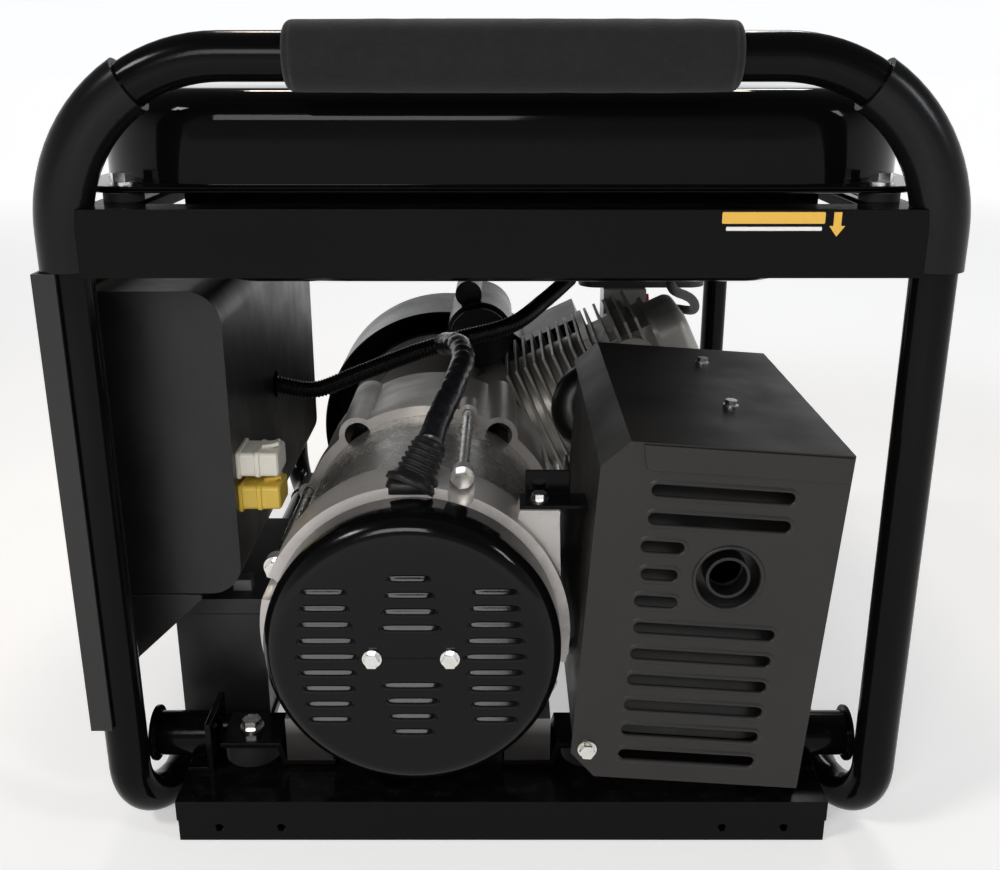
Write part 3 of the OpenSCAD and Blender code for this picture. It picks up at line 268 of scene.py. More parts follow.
def vinyl(name):
    """Insulating tape and sleeving: smooth, dark and wrinkled."""
    r = Recipe(name, (0.008, 0.008, 0.01), coat=0.5, coat_roughness=0.15)
    r.roughness(r.noise(90, 4), 0.22, 0.42)
    r.colour(r.noise(160, 5), (0.006, 0.006, 0.008), (0.016, 0.017, 0.022))
    r.bump(r.noise(230, 4, 0.6, (1, 1, 2.5)), 0.5, 0.0009)
    return r.material


def clear_lens(name):
    """Clear moulded plastic over a dial."""
    r = Recipe(name, (0.95, 0.97, 0.97), coat=0.2)
    r.shader.inputs["Transmission Weight"].default_value = 1.0
    r.shader.inputs["IOR"].default_value = 1.49
    r.roughness(r.noise(120, 5), 0.0, 0.05)
    return r.material


def printed(name, colour):
    """Printed film: matt ink with a slight edge of wear."""
    r = Recipe(name, colour, coat=0.2, coat_roughness=0.2)
    r.roughness(r.noise(80, 4), 0.35, 0.5)
    r.colour(r.spread(r.noise(500, 6, 0.7), (0.6, 0.75), (0, 0.5)), colour,
             tuple(0.75 * c for c in colour))
    r.bump(r.noise(900, 2), 0.1, 0.0001)
    return r.material


def two_tone(name, axis, at, below, above, blend=0.0005):
    """Moulded plastic of one colour below a station along an axis and another above it."""
    r = Recipe(name, below, specular=0.45)
    r.roughness(r.noise(40, 5), 0.3, 0.45)
    r.colour(r.coordinate(axis, at - blend, at + blend), below, above)
    r.bump(r.cells(1300), 0.15, 0.0001)
    return r.material


FRAME_PAINT = gloss_paint("frame_paint", (0.0022, 0.0021, 0.0023))
TANK_PAINT = gloss_paint("tank_paint", (0.0026, 0.0026, 0.003), low=0.04, high=0.1, peel=0.5)
COVER_PAINT = gloss_paint("cover_paint", (0.0026, 0.0025, 0.0027), low=0.08, high=0.18, specular=0.16)
STARTER_PAINT = gloss_paint("starter_paint", (0.006, 0.006, 0.0066), low=0.2, high=0.35)
SHIELD_PAINT = satin_paint("shield_paint", (0.012, 0.0111, 0.0107))
PANEL_PAINT = satin_paint("panel_paint", (0.011, 0.011, 0.0115), 0.3, 0.42)
GUARD_PLASTIC = gloss_paint("guard_plastic", (0.004, 0.0041, 0.0046), low=0.2, high=0.32,
                            specular=0.16)
HOUSING_PLASTIC = moulded_plastic("housing_plastic", (0.006, 0.0059, 0.006), 0.3, 0.44)
FAN_PLASTIC = moulded_plastic("fan_plastic", (0.03, 0.03, 0.032))
CAP_PLASTIC = moulded_plastic("cap_plastic", (0.014, 0.014, 0.015))
RED_PLASTIC = moulded_plastic("red_plastic", (0.42, 0.02, 0.012), 0.25, 0.4, 0.1)
YELLOW_PLASTIC = moulded_plastic("yellow_plastic", (0.62, 0.4, 0.03), 0.3, 0.45, 0.1)
PULLEY_PLASTIC = moulded_plastic("pulley_plastic", (0.5, 0.48, 0.42))
OUTLET_PLASTIC = two_tone("outlet_plastic", "Y", -0.13, (0.58, 0.55, 0.48), (0.02, 0.02, 0.022))
BATTERY_CASE = two_tone("battery_case", "Z", 0.1325, (0.011, 0.011, 0.012), (0.3, 0.3, 0.31))
METER_PLASTIC = moulded_plastic("meter_plastic", (0.02, 0.02, 0.022))
# Painted shade darkens the rear bracket and drive-end bell below 0.1 m, nearest the floor.
CAST_ALUMINIUM = cast_metal("cast_aluminium", (0.68, 0.65, 0.63), shaded_below=0.1)
ENGINE_ALUMINIUM = cast_metal("engine_aluminium", (0.5, 0.48, 0.45), low=0.34, high=0.55)
ZINC_ALLOY = cast_metal("zinc_alloy", (0.5, 0.49, 0.47), low=0.25, high=0.4, sand=0.2)
FLYWHEEL_IRON = cast_metal("flywheel_iron", (0.28, 0.27, 0.26), (0.09, 0.05, 0.03), 0.4, 0.6)
ZINC_STEEL = plated_steel("zinc_steel", (0.78, 0.78, 0.79))
SHAFT_STEEL = plated_steel("shaft_steel", (0.55, 0.55, 0.56), (0.5, 0.48, 0.44))
PLUG_CERAMIC = moulded_plastic("plug_ceramic", (0.7, 0.68, 0.62), 0.12, 0.25, 0.05)
RUBBER = rubber("rubber", (0.008, 0.008, 0.008))
BOOT_RUBBER = rubber("boot_rubber", (0.009, 0.009, 0.0095), 0.3, 0.45, 0.05)
FOAM = foam("foam")
LAMINATIONS = laminations("lamination_steel")
WINDINGS = windings("winding_copper")
PIPE_PAINT = satin_paint("pipe_paint", (0.006, 0.0058, 0.006), 0.26, 0.4)
CONNECTOR_WHITE = moulded_plastic("connector_white", (0.62, 0.6, 0.53), 0.3, 0.45, 0.1)
CONNECTOR_YELLOW = moulded_plastic("connector_yellow", (0.6, 0.42, 0.06), 0.3, 0.45, 0.1)
VINYL = vinyl("cable_tape")
LENS = clear_lens("clear_lens")
DIAL_WHITE = printed("dial_white", (0.75, 0.74, 0.7))
DIAL_INK = printed("dial_ink", (0.02, 0.02, 0.02))
LABEL_YELLOW = printed("label_yellow", (0.72, 0.42, 0.05))
LABEL_WHITE = printed("label_white", (0.75, 0.75, 0.73))

FINISHES = {
    FRAME_PAINT: ["near_hoop", "far_hoop", "side_rails", "crossbars", "top_rails",
                  "base_members", "axle_sleeves", "alternator_brackets"],
    GUARD_PLASTIC: ["corner_guards"],
    RUBBER: ["rubber_mounts"],
    ZINC_STEEL: ["frame_bolts", "flange_bolts", "through_bolts"],
    TANK_PAINT: ["tank_upper", "tank_lower"],
    CAP_PLASTIC: ["fuel_cap", "breaker_toggle", "engine_switch", "recoil_handle",
                  "valve_lever"],
    METER_PLASTIC: ["fuel_gauge", "voltmeter", "air_cleaner"],
    RED_PLASTIC: ["gauge_needle", "reset_button", "choke_lever"],
    YELLOW_PLASTIC: ["oil_cap"],
    PULLEY_PLASTIC: ["recoil_pulley"],
    ZINC_ALLOY: ["fuel_valve", "carburetor"],
    PANEL_PAINT: ["control_panel"],
    HOUSING_PLASTIC: ["control_housing"],
    OUTLET_PLASTIC: ["outlets"],
    BATTERY_CASE: ["battery"],
    COVER_PAINT: ["alternator_cover"],
    CAST_ALUMINIUM: ["rear_bracket", "drive_end_bell"],
    ENGINE_ALUMINIUM: ["engine_block", "cylinder_head", "valve_cover", "piston"],
    LAMINATIONS: ["stator_core"],
    WINDINGS: ["stator_windings"],
    SHAFT_STEEL: ["rotor", "crankshaft"],
    FAN_PLASTIC: ["cooling_fan"],
    PLUG_CERAMIC: ["spark_plug"],
    FLYWHEEL_IRON: ["flywheel"],
    STARTER_PAINT: ["blower_housing", "recoil_housing", "starter_motor"],
    PIPE_PAINT: ["muffler", "exhaust_pipe"],
    SHIELD_PAINT: ["heat_shield"],
}


def finish_cad_nodes():
    """Gives each CAD node its material."""
    for material, names in FINISHES.items():
        for name in names:
            mesh = NODES[name].data
            mesh.materials.clear()
            mesh.materials.append(material)


# ---------------------------------------------------------------- edges of the CAD nodes

def smoothing_group():
    """Geometry nodes that join a CAD mesh's faces and shade them smooth up to its edges."""
    group = bpy.data.node_groups.new("joined_and_smooth", "GeometryNodeTree")
    group.interface.new_socket("Geometry", in_out="INPUT", socket_type="NodeSocketGeometry")
    group.interface.new_socket("Geometry", in_out="OUTPUT", socket_type="NodeSocketGeometry")
    start = group.nodes.new("NodeGroupInput")
    end = group.nodes.new("NodeGroupOutput")
    weld = group.nodes.new("GeometryNodeMergeByDistance")
    weld.inputs["Distance"].default_value = 2e-6
    plain = group.nodes.new("GeometryNodeRemoveAttribute")
    plain.inputs["Name"].default_value = "custom_normal"
    smooth = group.nodes.new("GeometryNodeSetShadeSmooth")
    smooth.inputs["Shade Smooth"].default_value = True
    angle = group.nodes.new("GeometryNodeInputMeshEdgeAngle")
    steep = group.nodes.new("FunctionNodeCompare")
    steep.data_type = "FLOAT"
    steep.operation = "GREATER_THAN"
    steep.inputs["B"].default_value = math.radians(32)
    crisp = group.nodes.new("GeometryNodeSetShadeSmooth")
    crisp.domain = "EDGE"
    crisp.inputs["Shade Smooth"].default_value = False
    chain = [start, weld, plain, smooth, crisp, end]
    for one, other in zip(chain, chain[1:]):
        group.links.new(one.outputs[0], other.inputs[0])
    group.links.new(angle.outputs["Unsigned Angle"], steep.inputs["A"])
    group.links.new(steep.outputs["Result"], crisp.inputs["Selection"])
    return group


EDGE_RADIUS = {
    0.0012: ["crossbars", "tank_upper", "tank_lower", "control_housing", "battery",
             "air_cleaner", "starter_motor"],
    0.0007: ["base_members", "axle_sleeves", "rear_bracket", "drive_end_bell", "valve_cover",
             "alternator_brackets", "top_rails", "rubber_mounts", "corner_guards", "fuel_cap",
             "recoil_housing", "blower_housing", "recoil_handle", "carburetor", "oil_cap"],
    0.0004: ["control_panel", "heat_shield", "alternator_cover", "frame_bolts",
             "flange_bolts", "through_bolts", "outlets", "voltmeter", "fuel_gauge",
             "breaker_toggle", "engine_switch", "reset_button", "choke_lever", "valve_lever",
             "cylinder_head", "engine_block", "muffler", "spark_plug", "fuel_valve"],
}

# Folded sheets, whose flat faces are joined into one before their edges are rounded.
FLAT_SHEETS = ["heat_shield", "control_panel"]


def soften_edges():
    """Every visible CAD edge gets the small radius that pressing, casting or moulding leaves."""
    group = smoothing_group()
    for radius, names in EDGE_RADIUS.items():
        for name in names:
            node = NODES[name]
            node.modifiers.new("join", "NODES").node_group = group
            if name in FLAT_SHEETS:
                flat = node.modifiers.new("flat", "DECIMATE")
                flat.decimate_type = "DISSOLVE"
                flat.angle_limit = math.radians(0.3)
            bevel = node.modifiers.new("edge", "BEVEL")
            bevel.width = radius
            bevel.segments = 2
            bevel.limit_method = "ANGLE"
            bevel.angle_limit = math.radians(32)
            bevel.harden_normals = name not in FLAT_SHEETS
            bevel.use_clamp_overlap = True


# ---------------------------------------------------------------- mesh helpers

def mesh_piece(name, vertices, faces, material, body="frame", smooth=True, slot=None):
    """A new piece of the object that rides on a body."""
    mesh = bpy.data.meshes.new(name)
    mesh.from_pydata([tuple(v) for v in vertices], [], faces)
    mesh.materials.append(material)
    mesh.polygons.foreach_set("use_smooth", [smooth] * len(mesh.polygons))
    mesh.validate()
    piece = bpy.data.objects.new(name, mesh)
    bpy.context.scene.collection.objects.link(piece)
    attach(piece, body)
    return piece


def smooth_path(points, steps):
    """Points on the smooth curve through the given ones, with that many steps between each two."""
    p = [Vector(q) for q in points]
    last = len(p) - 1
    path = []
    for i in range(last):
        a, b, c, d = p[max(i - 1, 0)], p[i], p[i + 1], p[min(i + 2, last)]
        for k in range(steps):
            t = k / steps
            path.append(0.5 * (2 * b + (c - a) * t + (2 * a - 5 * b + 4 * c - d) * t * t
                               + (3 * b - a - 3 * c + d) * t ** 3))
    return path + [p[last]]


def ring_faces(rows, count, closed=False, base=0):
    """Quads between rings of points. A closed stack also joins its last ring to its first."""
    faces = []
    for i in range(rows if closed else rows - 1):
        j = (i + 1) % rows
        for k in range(count):
            after = (k + 1) % count
            faces.append((base + i * count + k, base + i * count + after,
                          base + j * count + after, base + j * count + k))
    return faces


def cap_faces(rows, count):
    """The two end faces of a stack of rings."""
    return [tuple(range(count - 1, -1, -1)), tuple(range((rows - 1) * count, rows * count))]


def plate_faces(count):
    """All the faces of a plate whose two outlines have that many points each."""
    faces = [tuple(range(count)), tuple(range(2 * count - 1, count - 1, -1))]
    return faces + [(i, i + count, (i + 1) % count + count, (i + 1) % count)
                    for i in range(count)]


def tube_piece(name, path, radius, material, sides=24, **facts):
    """A tube along a path, whose radius is a function of the distance along it and the angle."""
    last = len(path) - 1
    ways = [(path[min(i + 1, last)] - path[max(i - 1, 0)]).normalized() for i in range(last + 1)]
    side = ways[0].cross(Vector((0.31, 0.52, 0.8))).normalized()
    vertices, along = [], 0.0
    for i, way in enumerate(ways):
        side = (side - way * side.dot(way)).normalized()
        other = way.cross(side)
        if i:
            along += (path[i] - path[i - 1]).length
        for a in range(sides):
            turn = 2 * math.pi * a / sides
            r = radius(along, turn)
            vertices.append(path[i] + r * (math.cos(turn) * side + math.sin(turn) * other))
    faces = ring_faces(last + 1, sides) + cap_faces(last + 1, sides)
    return mesh_piece(name, vertices, faces, material, **facts)


def turned_piece(name, profile, origin, axis, material, sides=64, **facts):
    """A turned piece: profile gives (radius, distance along axis) pairs and closes on itself."""
    axis = Vector(axis).normalized()
    side = axis.orthogonal().normalized()
    other = axis.cross(side)
    origin = Vector(origin)
    vertices = [origin + axis * z + r * (math.cos(t) * side + math.sin(t) * other)
                for r, z in profile
                for t in (2 * math.pi * a / sides for a in range(sides))]
    return mesh_piece(name, vertices, ring_faces(len(profile), sides, closed=True), material, **facts)


def flat_piece(name, outline, at, material, thickness=0.00025, **facts):
    """A thin plate on a face that looks toward -Y; outline gives (x, z) pairs."""
    x0, y0, z0 = at
    vertices = [(x0 + x, y, z0 + z) for y in (y0, y0 - thickness) for x, z in outline]
    return mesh_piece(name, vertices, plate_faces(len(outline)), material, smooth=False, **facts)


def rounded_outline(w, h, r, steps=6):
    """Corner-rounded rectangle as (x, z) pairs, anticlockwise."""
    outline = []
    for quarter, (sx, sz) in enumerate([(1, -1), (1, 1), (-1, 1), (-1, -1)]):
        for k in range(steps + 1):
            a = math.radians(90 * (quarter - 1) + 90 * k / steps)
            outline.append((sx * (w / 2 - r) + r * math.cos(a), sz * (h / 2 - r) + r * math.sin(a)))
    return outline


# ---------------------------------------------------------------- foam grips

GRIP_R = 0.0194
GRIP_L = 0.2496
GRIP_SHIFT = 0.006


def foam_grip(name, y):
    """A foam sleeve pushed onto a hoop's top tube: crowned, pinched at its ends, a little uneven."""
    rings = 90
    sides = 72
    end_r = 0.0045
    crown_rise = 0.0006
    corner_steps = 6
    body_r = GRIP_R - crown_rise
    bore = TUBE_R + 0.00015

    def corner(k):
        """Radius and distance from the end of a point on the end's rounded corner."""
        a = math.radians(90 * k / corner_steps)
        return body_r - end_r * (1 - math.sin(a)), end_r * (1 - math.cos(a))

    rows = [(bore, -GRIP_L / 2)]
    rows += [(r, -GRIP_L / 2 + inset) for r, inset in map(corner, range(corner_steps + 1))]
    for i in range(rings + 1):
        x = -GRIP_L / 2 + end_r + (GRIP_L - 2 * end_r) * i / rings
        rows.append((body_r + crown_rise * (1 - (2 * x / GRIP_L) ** 4), x))
    rows += [(r, GRIP_L / 2 - inset) for r, inset in map(corner, range(corner_steps, -1, -1))]
    rows.append((bore, GRIP_L / 2))
    vertices = []
    for r, x in rows:
        for a in range(sides):
            t = 2 * math.pi * a / sides
            place = Vector((x, math.cos(t) * 0.02, math.sin(t) * 0.02))
            outside = r > bore + 0.002
            swell = 0.00045 * noise.noise(place * 55) if outside else 0.0
            seam = 0.0009 * math.exp(-((t - 1.5 * math.pi) / 0.035) ** 2) if outside else 0.0
            reach = min(r + swell, GRIP_R) - seam
            vertices.append((GRIP_SHIFT + x, y + reach * math.cos(t), TOP_Z + reach * math.sin(t)))
    piece = mesh_piece(name, vertices, ring_faces(len(rows), sides, closed=True), FOAM,
                       slot="foam")
    return piece


# ---------------------------------------------------------------- alternator cover louvres

LOUVRE_PITCH = 11.5 * MM


def louvre_places():
    """(x, z, length) of each louvre on the cover's face, from the crankshaft's axis."""
    for side in (-1, 1):
        for i in range(-4, 5):
            yield side * 54 * MM, i * LOUVRE_PITCH, (38 - 3 * abs(i)) * MM
    for side in (-1, 1):
        for k in range(4):
            i = 1.8 + k
            yield 0.0, side * i * LOUVRE_PITCH, (44 - 4 * i) * MM


def louvre_hoods():
    """Pressed hoods over the slots: a raised eyebrow that opens downward, with rounded ends."""
    across, down = 22, 7
    rise = 2.1 * MM
    reach_up = 3.4 * MM
    reach_down = 1.3 * MM
    vertices, faces = [], []
    for x0, z0, length in louvre_places():
        base = len(vertices)
        for i in range(across + 1):
            u = 2 * i / across - 1
            end = math.sqrt(max(0.0, 1 - abs(u) ** 5))
            for j in range(down + 1):
                v = j / down
                bulge = rise * end * math.sin(v * math.pi / 2) ** 1.3
                z = z0 + (reach_up - v * (reach_up + reach_down)) * (0.35 + 0.65 * end)
                vertices.append((AXIS_X + x0 + u * (length / 2 + 1.6 * MM),
                                 FRONT_Y - 0.05 * MM - bulge, AXIS_Z + z))
        for i in range(across):
            for j in range(down):
                a = base + i * (down + 1) + j
                faces.append((a, a + 1, a + down + 2, a + down + 1))
    piece = mesh_piece("cover_louvres", vertices, faces, COVER_PAINT, slot="cover_paint")
    shell = piece.modifiers.new("sheet", "SOLIDIFY")
    shell.thickness = 0.5 * MM
    shell.offset = -1
    return piece


# ---------------------------------------------------------------- boot, leads and hoses

BOOT_FOOT = Vector((-0.058, -0.296, 0.246))
BOOT_LEAN = Vector((0.011, 0.012, 0.021))
LEAD_POINTS = [BOOT_FOOT + BOOT_LEAN, (-0.043, -0.264, 0.276), (-0.034, -0.230, 0.290),
               (-0.028, -0.190, 0.299), (-0.032, -0.156, 0.302), (-0.044, -0.1255, 0.296)]
HARNESS_POINTS = [(-0.179, -0.120, 0.262), (-0.150, -0.112, 0.255), (-0.118, -0.110, 0.266),
                  (-0.084, -0.113, 0.280), (-0.058, -0.116, 0.290), (-0.030, -0.106, 0.296),
                  (0.008, -0.086, 0.302), (0.036, -0.040, 0.312), (0.060, 0.0, 0.324)]
FUEL_POINTS = [(0.150, 0.020, 0.3378), (0.1502, 0.0206, 0.3275), (0.152, 0.0245, 0.3165),
               (0.1565, 0.0325, 0.308), (0.1635, 0.044, 0.3025), (0.1715, 0.058, 0.2975),
               (0.1795, 0.073, 0.2915), (0.186, 0.089, 0.284), (0.190, 0.105, 0.276),
               (0.1905, 0.1205, 0.270), (0.1865, 0.1345, 0.267), (0.178, 0.145, 0.2662),
               (0.166, 0.151, 0.266), (0.1522, 0.152, 0.266)]
PIPE_POINTS = [(0.117, -0.0105, 0.250), (0.117, -0.022, 0.250), (0.116, -0.033, 0.2503),
               (0.109, -0.046, 0.2515), (0.096, -0.056, 0.2525), (0.079, -0.062, 0.251),
               (0.063, -0.067, 0.242), (0.058, -0.072, 0.226), (0.066, -0.077, 0.211),
               (0.082, -0.084, 0.205), (0.094, -0.098, 0.205), (0.096, -0.112, 0.205),
               (0.096, -0.1236, 0.205)]


def cable_boot():
    """A moulded boot: a saddle foot on the ring, a waist and five rolled ribs."""
    length = BOOT_LEAN.length
    profile = [(0.0125, -0.004), (0.0172, -0.004), (0.0172, 0.0), (0.0152, 0.0014), (0.0136, 0.004)]
    ribs, start, pitch = 5, 0.0055, 0.0041
    for i in range(ribs):
        for k in range(8):
            a = 2 * math.pi * k / 8
            taper = 0.0128 - 0.00035 * i
            profile.append((taper - 0.0008 * math.cos(a), start + (i + k / 8) * pitch))
    profile += [(0.0108, length + 0.0012), (0.0102, length + 0.0026), (0.0088, length + 0.0026)]
    boot = turned_piece("boot_moulding", profile, BOOT_FOOT, BOOT_LEAN, BOOT_RUBBER, 48,
                        slot="rubber")
    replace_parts(boot, "cable_boot")
    foot = rounded_outline(0.034, 0.019, 0.006)
    levels = [(-0.0045, 1.0), (0.0, 1.0), (0.0022, 0.93), (0.0032, 0.8)]
    vertices = []
    for lift, scale in levels:
        for x, y in foot:
            rise = 0.0005 * noise.noise(Vector((x * 90, y * 90, 0.0)))
            drop = (x * scale) ** 2 / 0.21
            vertices.append(BOOT_FOOT + Vector((x * scale, y * scale, lift + rise - drop)))
    faces = ring_faces(len(levels), len(foot)) + cap_faces(len(levels), len(foot))
    mesh_piece("boot_foot", vertices, faces, BOOT_RUBBER, slot="rubber")


def taped_lead():
    """The alternator's main lead, wound with tape: a helical step and loose wrinkles."""
    pitch = 0.011

    def radius(along, turn):
        lap = (along / pitch + turn / (2 * math.pi)) % 1.0
        wrinkle = noise.noise(Vector((along * 130, math.cos(turn) * 1.5, math.sin(turn) * 1.5)))
        ease = min(1.0, along / 0.01)
        return 0.0082 + 0.0009 * (1 - ease) + 0.0006 * lap + 0.00055 * wrinkle * ease

    lead = tube_piece("taped_lead", smooth_path(LEAD_POINTS, 30), radius, VINYL, 36,
                      slot="cable_sheath")
    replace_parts(lead, "alternator_lead")


def corrugated_harness():
    """Split corrugated conduit over the wiring, from the housing's cable hole toward the engine."""
    pitch = 0.0026

    def radius(along, turn):
        wave = 0.5 + 0.5 * math.cos(2 * math.pi * along / pitch)
        split = 0.0007 * math.exp(-((turn - math.pi) / 0.12) ** 2)
        return 0.0059 + 0.001 * wave ** 0.6 - split

    points = smooth_path(HARNESS_POINTS, 90)
    harness = tube_piece("corrugated_harness", points, radius, GUARD_PLASTIC, 24,
                         slot="cable_sheath")
    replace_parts(harness, "wiring_harness")


def housing_plug(name, y, z, material):
    """A wiring plug pushed home in the side of the control housing: flange, shell and latch."""
    width, height, wall_x = 0.030, 0.017, -0.1788
    outline = rounded_outline(width, height, 0.003)
    rows = [(0.0, 1.16), (0.0022, 1.16), (0.0026, 1.0), (0.012, 1.0), (0.0124, 1.07),
            (0.0152, 1.07), (0.0156, 1.0), (0.0268, 1.0), (0.028, 0.9)]
    vertices = [(wall_x + out, y + u * scale, z + v * scale)
                for out, scale in rows for u, v in outline]
    faces = ring_faces(len(rows), len(outline)) + cap_faces(len(rows), len(outline))
    plug = mesh_piece(name, vertices, faces, material, smooth=False)
    edge = plug.modifiers.new("edge", "BEVEL")
    edge.width = 0.0003
    edge.segments = 2
    tongue = rounded_outline(0.009, 0.0032, 0.001)
    strips = [(0.0156, 0.0), (0.022, 0.0008), (0.0262, 0.0022), (0.0272, 0.0012)]
    latch = [(wall_x + out, y + u, z + height / 2 + 0.0008 + lift + v)
             for out, lift in strips for u, v in tongue]
    faces = ring_faces(len(strips), len(tongue)) + cap_faces(len(strips), len(tongue))
    mesh_piece(name + "_latch", latch, faces, material, smooth=False)


def fuel_line():
    """Rubber fuel hose with a spring clip at each end."""
    hose_r = 0.0045
    clip_steps = 8
    path = smooth_path(FUEL_POINTS, 12)
    hose = tube_piece("fuel_line", path, lambda along, turn: hose_r, RUBBER, 20, slot="rubber")
    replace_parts(hose, "fuel_hose")
    for name, i in (("fuel_clip_valve", clip_steps),
                    ("fuel_clip_carburetor", len(path) - clip_steps)):
        way = (path[i + 1] - path[i - 1]).normalized()
        profile = [(0.0046, -0.003), (0.0053, -0.003), (0.0055, -0.0024), (0.0055, 0.0024),
                   (0.0053, 0.003), (0.0046, 0.003)]
        turned_piece(name, profile, path[i], way, ZINC_STEEL, 32, slot="zinc_steel")


def exhaust_elbow():
    """The bent pipe from the cylinder head to the muffler, with its weld ripples."""
    def radius(along, turn):
        ripple = noise.noise(Vector((along * 60, math.cos(turn), math.sin(turn))))
        return 0.0157 + 0.0003 * ripple

    steps = 14
    clamp_point = 5
    path = smooth_path(PIPE_POINTS, steps)
    pipe = tube_piece("exhaust_elbow", path, radius, PIPE_PAINT, 40, slot="exhaust_steel")
    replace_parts(pipe, "exhaust_pipe")
    profile = [(0.0159, -0.007), (0.0172, -0.007), (0.0178, -0.0062), (0.0178, 0.0062),
               (0.0172, 0.007), (0.0159, 0.007)]
    place = clamp_point * steps
    turned_piece("exhaust_clamp", profile, path[place], path[place + 1] - path[place - 1],
                 ZINC_STEEL, 64, slot="zinc_steel")


# ---------------------------------------------------------------- labels, dials and lenses

CROSSBAR_FACE = -0.3390


def blank_label():
    """A plain warning-coloured strip, a pale strip under it and an arrow toward the outlet."""
    strip = rounded_outline(0.058, 0.0065, 0.0008)
    flat_piece("label_strip", strip, (0.153, CROSSBAR_FACE, 0.4213), LABEL_YELLOW)
    pale = rounded_outline(0.054, 0.0022, 0.0005)
    flat_piece("label_line", pale, (0.1535, CROSSBAR_FACE, 0.4152), LABEL_WHITE)
    arrow = [(0.0, -0.0072), (0.0045, -0.0012), (0.0022, -0.0012), (0.0022, 0.0065),
             (-0.0022, 0.0065), (-0.0022, -0.0012), (-0.0045, -0.0012)]
    flat_piece("label_arrow", arrow, (0.189, CROSSBAR_FACE, 0.418), LABEL_YELLOW)


def dial(name, centre, normal, radius, ticks, body="frame"):
    """A round dial face with a ring of tick marks under a domed lens."""
    normal = Vector(normal).normalized()
    centre = Vector(centre)
    turned_piece(name + "_face", [(0.0, 0.0), (radius, 0.0), (radius, -0.0004), (0.0, -0.0004)],
                 centre, normal, DIAL_WHITE, 64, body=body)
    side = normal.orthogonal().normalized()
    other = normal.cross(side)
    vertices, faces = [], []
    for i in range(ticks + 1):
        a = math.radians(-50 + 280 * i / ticks)
        way = math.cos(a) * side + math.sin(a) * other
        across = normal.cross(way) * (0.0006 if i % 5 == 0 else 0.0003)
        inner = radius * (0.7 if i % 5 == 0 else 0.8)
        base = len(vertices)
        for r, s in ((inner, -1), (radius * 0.92, -1), (radius * 0.92, 1), (inner, 1)):
            vertices.append(centre + normal * 0.00012 + way * r + across * s)
        faces.append((base, base + 1, base + 2, base + 3))
    mesh_piece(name + "_marks", vertices, faces, DIAL_INK, body=body, smooth=False)


def lens(name, centre, normal, radius, dome):
    """A domed clear lens over a dial."""
    steps = 8
    thickness = 0.0008
    top = [(radius * (1 - k / steps), dome * (1 - (1 - k / steps) ** 2)) for k in range(steps + 1)]
    under = [(r, z - thickness) for r, z in reversed(top)]
    turned_piece(name, top + under, centre, normal, LENS, 64)


def meters():
    """Dial, pointer and lens of the voltmeter, and dial and lens of the fuel gauge."""
    meter = Vector((-0.268, -0.200, 0.325))
    dial("voltmeter_dial", meter + Vector((-0.0032, 0, 0)), (-1, 0, 0), 0.0222, 20)
    pointer = [(0.0009, -0.004), (0.0004, 0.016), (-0.0004, 0.016), (-0.0009, -0.004)]
    vertices = [meter + Vector((x, u, v)) for x in (-0.0036, -0.004)
                for u, v in pointer]
    mesh_piece("voltmeter_pointer", vertices, plate_faces(len(pointer)), RED_PLASTIC,
               smooth=False)
    lens("voltmeter_lens", meter + Vector((-0.0052, 0, 0)), (-1, 0, 0), 0.0221, 0.0007)
    gauge = Vector((0.0, 0.110, TANK_TOP))
    dial("gauge_dial", gauge + Vector((0, 0, 0.0033)), (0, 0, 1), 0.0228, 10)
    lens("gauge_lens", gauge + Vector((0, 0, 0.0072)), (0, 0, 1), 0.0228, 0.0009)


# ---------------------------------------------------------------- pressings and welds

SHIELD_CENTRE = Vector((0.129, FRONT_Y, 0.167))
SHIELD_LEAN = math.radians(4)


def on_shield(u, y, v):
    """A point on the leaning muffler shield, from its centre."""
    return SHIELD_CENTRE + Vector((u * math.cos(SHIELD_LEAN) + v * math.sin(SHIELD_LEAN), y,
                                   -u * math.sin(SHIELD_LEAN) + v * math.cos(SHIELD_LEAN)))


def shield_lip():
    """The edge of the shield's roof, folded down over its face."""
    outline = [(-0.052, 0.1168), (-0.0485, 0.1015), (-0.046, 0.1005), (0.0745, 0.1005),
               (0.0755, 0.1015), (0.0755, 0.1168)]
    vertices = [on_shield(u, y, v) for y in (-0.0001, -0.0014) for u, v in outline]
    lip = mesh_piece("shield_lip", vertices, plate_faces(len(outline)), SHIELD_PAINT,
                     smooth=False, slot="shield_paint")
    bevel = lip.modifiers.new("edge", "BEVEL")
    bevel.width = 0.0005
    bevel.segments = 3


def shield_eyelet():
    """Rolled rim round the hole for the exhaust outlet."""
    centre = on_shield(0.0105, 0.0, 0.032)
    profile = [(0.0200, 0.0), (0.0206, -0.0009), (0.0214, -0.0012), (0.0222, -0.0009),
               (0.0228, 0.0), (0.0222, 0.0012), (0.0200, 0.0012)]
    turned_piece("shield_eyelet", profile, centre, (0, 1, 0), SHIELD_PAINT, 72,
                 slot="shield_paint")


def shield_slot_rims():
    """The soft raised edge that punching leaves round each slot of the shield."""
    pitch, first = 0.01875, 0.088
    slots = [(0.0, 0.088, i) for i in (0, 1)]
    slots += [(-0.033, 0.027 - 0.004 * (i % 2), i) for i in (2, 3, 4)]
    slots += [(0.0, 0.090, i) for i in range(5, 11)]
    height, end_r = 0.0075, 0.0037
    rings = [(0.0, 0.0), (0.0005, -0.0007), (0.0013, -0.0009), (0.0024, -0.0004), (0.0031, 0.0)]
    vertices, faces = [], []
    for u, length, i in slots:
        base = len(vertices)
        for grow, out in rings:
            outline = rounded_outline(length + 2 * grow, height + 2 * grow, end_r + grow)
            vertices += [on_shield(u + x, out, first - i * pitch + z) for x, z in outline]
        faces += ring_faces(len(rings), len(outline), base=base)
    mesh_piece("shield_slot_rims", vertices, faces, SHIELD_PAINT, slot="shield_paint")


